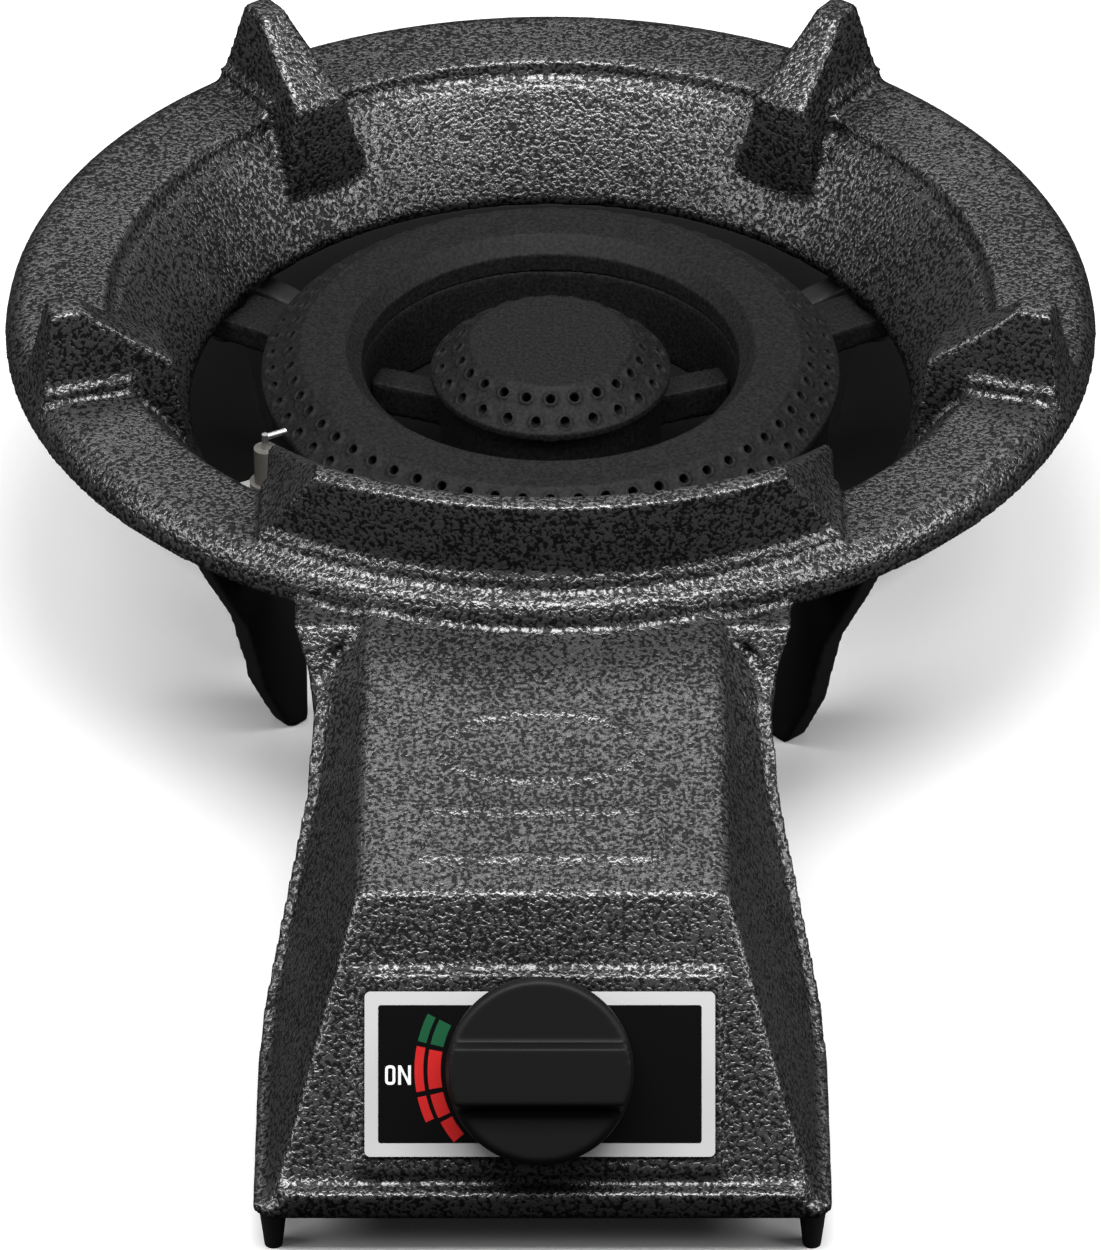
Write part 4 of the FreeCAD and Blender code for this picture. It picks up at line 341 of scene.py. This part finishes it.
def leg_paint():
    """Plain black paint over a coarser sand grain."""
    shader = plain("leg_paint", grey(LEG_TONE), roughness=0.5)
    grain = shader.noise(Scale=LEG_GRAIN_SCALE, Detail=LEG_GRAIN_DETAIL)
    shader.bump(grain, LEG_GRAIN_STRENGTH, GRAIN_HEIGHT)
    return shader.material


def brushed(name, colour, roughness):
    """Metal with faint uneven gloss."""
    shader = plain(name, colour, roughness, metallic=1.0)
    haze = shader.noise(Scale=HAZE_SCALE, Detail=HAZE_DETAIL)
    tones = (roughness * (1.0 - HAZE_SHARE), roughness * (1.0 + HAZE_SHARE))
    shader.link(shader.ramp(haze, HAZE_RISE, tones), shader.bsdf.inputs["Roughness"])
    return shader.material


MATERIALS = {
    "cast_paint": hammertone(),
    "leg_paint": leg_paint(),
    "burner_iron": burner_iron(),
    "steel": brushed("zinc_steel", grey(0.55), roughness=0.35),
    "bolt_steel": brushed("black_steel", grey(0.10), roughness=0.4),
    "brass": brushed("machined_brass", (0.70, 0.50, 0.20), roughness=0.28),
    "tap_alloy": brushed("die_cast_alloy", grey(0.45), roughness=0.45),
    "bezel_silver": plain("bezel_silver", grey(0.52), roughness=0.38, metallic=0.1).material,
    "dial_black": plain("dial_black", grey(0.0015), roughness=0.3, specular=0.22).material,
    "knob_black": plain("knob_black", grey(0.0026), roughness=0.5, specular=0.17).material,
    "igniter_plastic": plain("igniter_plastic", grey(0.03), roughness=0.5).material,
    "ceramic": plain("glazed_ceramic", (0.10, 0.095, 0.085), roughness=0.3).material,
    "wire_cover": plain("wire_cover", (0.45, 0.03, 0.02), roughness=0.45).material,
    "seal": plain("gas_seal", grey(0.03), roughness=0.6).material,
}
MATERIALS["cap_iron"] = MATERIALS["burner_iron"]


def dress_nodes():
    """Give each CAD node the material of its slot in the record."""
    for entry in frame["record"]["subparts"]:
        mesh = nodes[entry["node"]].data
        mesh.materials.clear()
        mesh.materials.append(MATERIALS[entry["material_slot"]])


def cast_rounding(node, voxel, smoothing):
    """Turn a node's sharp CAD edges into the soft edges of a casting or moulding."""
    item = nodes[node]
    remesh = item.modifiers.new("CastSkin", "REMESH")
    remesh.mode = "VOXEL"
    remesh.voxel_size = voxel
    remesh.use_smooth_shade = True
    smooth = item.modifiers.new("CastRounding", "SMOOTH")
    smooth.factor = SMOOTHING_FACTOR
    smooth.iterations = smoothing


def edge_bevel(node):
    """Break a node's sharp edges."""
    bevel = nodes[node].modifiers.new("EdgeBevel", "BEVEL")
    bevel.width = BEVEL_WIDTH
    bevel.segments = BEVEL_SEGMENTS
    bevel.limit_method = "ANGLE"
    bevel.angle_limit = BEVEL_ANGLE


def add_object(name, data):
    """Put a mesh, lamp or camera into the scene."""
    item = bpy.data.objects.new(name, data)
    bpy.context.collection.objects.link(item)
    return item


def aim(item, place, direction):
    """Stand a lamp or the camera at a place, facing in a direction."""
    item.location = place
    item.rotation_euler = direction.to_track_quat("-Z", "Y").to_euler()


def mesh_piece(name, vertices, faces, material, body, matrix):
    """A piece that isn't in the CAD, placed by a matrix and moving with a body."""
    mesh = bpy.data.meshes.new(name)
    mesh.from_pydata(vertices, [], faces)
    mesh.materials.append(material)
    mesh.update()
    piece = add_object(name, mesh)
    piece.matrix_world = matrix
    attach(piece, body)
    return piece


def slab(outline):
    """Vertices and faces of a thin printed plate with the given outline."""
    count = len(outline)
    vertices = [(x, y, height) for height in (0.0, MARK_HEIGHT) for x, y in outline]
    faces = [tuple(range(count - 1, -1, -1)), tuple(range(count, count * 2))]
    for index in range(count):
        after = (index + 1) % count
        faces.append((index, after, after + count, index + count))
    return vertices, faces


def holed_slab(outer, inner):
    """Vertices and faces of such a plate with a hole, from two outlines with as many points each."""
    count = len(outer)
    vertices = [(x, y, height) for height in (0.0, MARK_HEIGHT) for x, y in outer + inner]
    faces = []
    for index in range(count):
        after = (index + 1) % count
        faces.append((index, index + count, after + count, after))
        faces.append((index + count * 2, after + count * 2, after + count * 3, index + count * 3))
        faces.append((index, after, after + count * 2, index + count * 2))
        faces.append((index + count, index + count * 3, after + count * 3, after + count))
    return vertices, faces


def dial_marks(body):
    """Coloured arcs left of the knob."""
    paints = {MARK_RED: plain("mark_red", MARK_RED, MARK_ROUGHNESS).material,
              MARK_GREEN: plain("mark_green", MARK_GREEN, MARK_ROUGHNESS).material}
    for name, (inner, outer), start, end, colour in MARKS:
        arc = [math.radians(start + (end - start) * step / ARC_STEPS) for step in range(ARC_STEPS + 1)]
        outline = [(outer * math.cos(turn), outer * math.sin(turn)) for turn in arc]
        outline += [(inner * math.cos(turn), inner * math.sin(turn)) for turn in reversed(arc)]
        vertices, faces = slab(outline)
        mesh_piece(name, vertices, faces, paints[colour], body, panel_matrix(DIAL_PLACE))


def rounded_oblong(left, foot, wide, tall, radius):
    """Outline of an upright oblong with round corners, from its right side round by the top."""
    points = []
    for number in range(4):
        start = math.pi / 2 * number
        across = left + wide - radius if number in (0, 3) else left + radius
        up = foot + tall - radius if number in (0, 1) else foot + radius
        for step in range(CORNER_STEPS + 1):
            turn = start + math.pi / 2 * step / CORNER_STEPS
            points.append((across + radius * math.cos(turn), up + radius * math.sin(turn)))
    return points


def letter_o(left):
    """The ring of the O, as one shape in a list."""
    outer = rounded_oblong(left, LETTERS_FOOT, O_WIDTH, LETTER_HEIGHT, O_OUTER_CORNER)
    inner = rounded_oblong(left + PEN, LETTERS_FOOT + PEN, O_WIDTH - PEN * 2, LETTER_HEIGHT - PEN * 2,
                           O_INNER_CORNER)
    return [holed_slab(outer, inner)]


def letter_n(left):
    """The three strokes of the N: both uprights, then the slanted one between them."""
    foot = LETTERS_FOOT
    top = LETTERS_FOOT + LETTER_HEIGHT
    left_stroke = left + PEN
    right = left + N_WIDTH
    right_stroke = right - PEN
    return [
        slab(((left, foot), (left_stroke, foot), (left_stroke, top), (left, top))),
        slab(((right_stroke, foot), (right, foot), (right, top), (right_stroke, top))),
        slab(((left_stroke, top), (left_stroke, top - N_SLANT_END), (right_stroke, foot),
              (right_stroke, foot + N_SLANT_END)))]


def lettering(body):
    """ON in plain narrow capitals, left of the arcs."""
    white = plain("mark_white", MARK_WHITE, roughness=0.4).material
    vertices = []
    faces = []
    shapes = letter_o(LETTERS_LEFT) + letter_n(LETTERS_LEFT + O_WIDTH + LETTER_GAP)
    for more_vertices, more_faces in shapes:
        faces += [tuple(index + len(vertices) for index in face) for face in more_faces]
        vertices += more_vertices
    mesh_piece("mark_on", vertices, faces, white, body, panel_matrix(DIAL_PLACE))


def wound_wire(radius, length):
    """Vertices and faces of a wire wound about Z, with its middle at the origin."""
    wire = SPRING_WIRE / 2
    pitch = (length - SPRING_WIRE * 3) / (SPRING_TURNS - 2)
    steps = SPRING_TURNS * TURN_STEPS
    vertices = []
    faces = []
    for step in range(steps + 1):
        turns = step / TURN_STEPS
        closed = min(turns, 1.0) + max(turns - (SPRING_TURNS - 1), 0.0)
        up = wire - length / 2 + SPRING_WIRE * closed + pitch * (turns - closed)
        for side in range(WIRE_SIDES):
            tilt = math.tau * side / WIRE_SIDES
            out = radius - wire + wire * math.cos(tilt)
            turn = math.tau * turns
            vertices.append((out * math.cos(turn), out * math.sin(turn), up + wire * math.sin(tilt)))
    for step in range(steps):
        for side in range(WIRE_SIDES):
            corner = step * WIRE_SIDES + side
            beside = step * WIRE_SIDES + (side + 1) % WIRE_SIDES
            faces.append((corner, corner + WIRE_SIDES, beside + WIRE_SIDES, beside))
    faces.append(tuple(range(WIRE_SIDES)))
    faces.append(tuple(reversed(range(steps * WIRE_SIDES, len(vertices)))))
    return vertices, faces


def return_spring():
    """The wound spring behind the panel, which stands for the plain sleeve."""
    low, high = (Vector(corner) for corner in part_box("stem_spring"))
    middle = (low + high) / 2
    radius = (high.x - low.x) / 2
    length = ((high.z - low.z) - radius * 2 * abs(PANEL_NORMAL.y)) / PANEL_NORMAL.z
    vertices, faces = wound_wire(radius, length)
    coil = mesh_piece("spring_coil", vertices, faces, MATERIALS["steel"], "stove_frame",
                      panel_matrix(middle))
    for polygon in coil.data.polygons:
        polygon.use_smooth = True
    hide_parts("stem_spring")
    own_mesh(coil)


def lamps():
    """Wide soft lamps: the main one above, and fainter ones behind and at both sides."""
    for name, place, target, size, watts in LAMPS:
        lamp = bpy.data.lights.new(name, "AREA")
        lamp.shape = "RECTANGLE"
        lamp.size, lamp.size_y = size
        lamp.energy = watts
        aim(add_object(name, lamp), place, Vector(target) - Vector(place))


def studio_world():
    """White to the camera, and a faint even light to everything else."""
    world = bpy.data.worlds.new("Studio")
    bpy.context.scene.world = world
    world.use_nodes = True
    tree = world.node_tree
    lighting = tree.nodes["Background"]
    seen = tree.nodes.new("ShaderNodeBackground")
    for background, strength in ((lighting, WORLD_LIGHT), (seen, WORLD_SEEN)):
        background.inputs["Color"].default_value = opaque(grey(1.0))
        background.inputs["Strength"].default_value = strength
    path = tree.nodes.new("ShaderNodeLightPath")
    blend = tree.nodes.new("ShaderNodeMixShader")
    tree.links.new(path.outputs["Is Camera Ray"], blend.inputs["Fac"])
    tree.links.new(lighting.outputs["Background"], blend.inputs[1])
    tree.links.new(seen.outputs["Background"], blend.inputs[2])
    tree.links.new(blend.outputs["Shader"], tree.nodes["World Output"].inputs["Surface"])


def floor_paint():
    """Nearly white to the camera but for a painted shadow under the stove, dark to bounced light, pure
    white far out.
    """
    shader = plain("floor_white", grey(FLOOR_TONES[1]), roughness=0.9, specular=0.0)
    camera_ray = shader.add("ShaderNodeLightPath").outputs["Is Camera Ray"]
    seen = shader.ramp(camera_ray, tones=FLOOR_TONES)
    # Painted shadow: the floor's colour darkens near a point behind and below the burner
    painted_shadow_rise = (PAINTED_SHADOW_REACH * PAINTED_SHADOW_FULL_SHARE, PAINTED_SHADOW_REACH)
    painted_shadow = shader.ramp(shader.distance(PAINTED_SHADOW_MIDDLE), painted_shadow_rise, (PAINTED_SHADOW_TONE, 1.0))
    shader.link(shader.times(seen, painted_shadow), shader.bsdf.inputs["Base Color"])
    fade = shader.ramp(shader.distance(FLOOR_MIDDLE), FLOOR_FADE)
    white = shader.add("ShaderNodeEmission")
    blend = shader.add("ShaderNodeMixShader")
    shader.link(shader.times(fade, camera_ray), blend.inputs["Fac"])
    shader.link(shader.bsdf.outputs["BSDF"], blend.inputs[1])
    shader.link(white.outputs["Emission"], blend.inputs[2])
    shader.link(blend.outputs["Shader"], shader.tree.nodes["Material Output"].inputs["Surface"])
    return shader.material


def floor():
    """The flat square that the stove stands on."""
    corners = [(-FLOOR_HALF, -FLOOR_HALF, 0.0), (FLOOR_HALF, -FLOOR_HALF, 0.0),
               (FLOOR_HALF, FLOOR_HALF, 0.0), (-FLOOR_HALF, FLOOR_HALF, 0.0)]
    mesh = bpy.data.meshes.new("floor")
    mesh.from_pydata(corners, [], [(0, 1, 2, 3)])
    mesh.materials.append(floor_paint())
    item = add_object("floor", mesh)


def camera():
    """The photograph's view; the sensor's size goes to the picture's longer side, its height."""
    data = bpy.data.cameras.new("photo_camera")
    data.sensor_fit = "AUTO"
    data.sensor_width = SENSOR
    data.lens = LENS
    data.clip_end = CAMERA_CLIP_END
    item = add_object("photo_camera", data)
    away = Vector((0.0, -math.cos(CAMERA_ELEVATION), math.sin(CAMERA_ELEVATION)))
    aim(item, CAMERA_TARGET + away * CAMERA_DISTANCE, -away)
    bpy.context.scene.camera = item


dress_nodes()
for rounded, voxel_size, passes in ROUNDED_NODES:
    for rounded_node in rounded:
        cast_rounding(rounded_node, voxel_size, passes)
edge_bevel("bezel_frame")
dial_marks("stove_frame")
lettering("stove_frame")
return_spring()
floor()
lamps()
studio_world()
camera()
bpy.context.scene.view_settings.view_transform = "Standard"
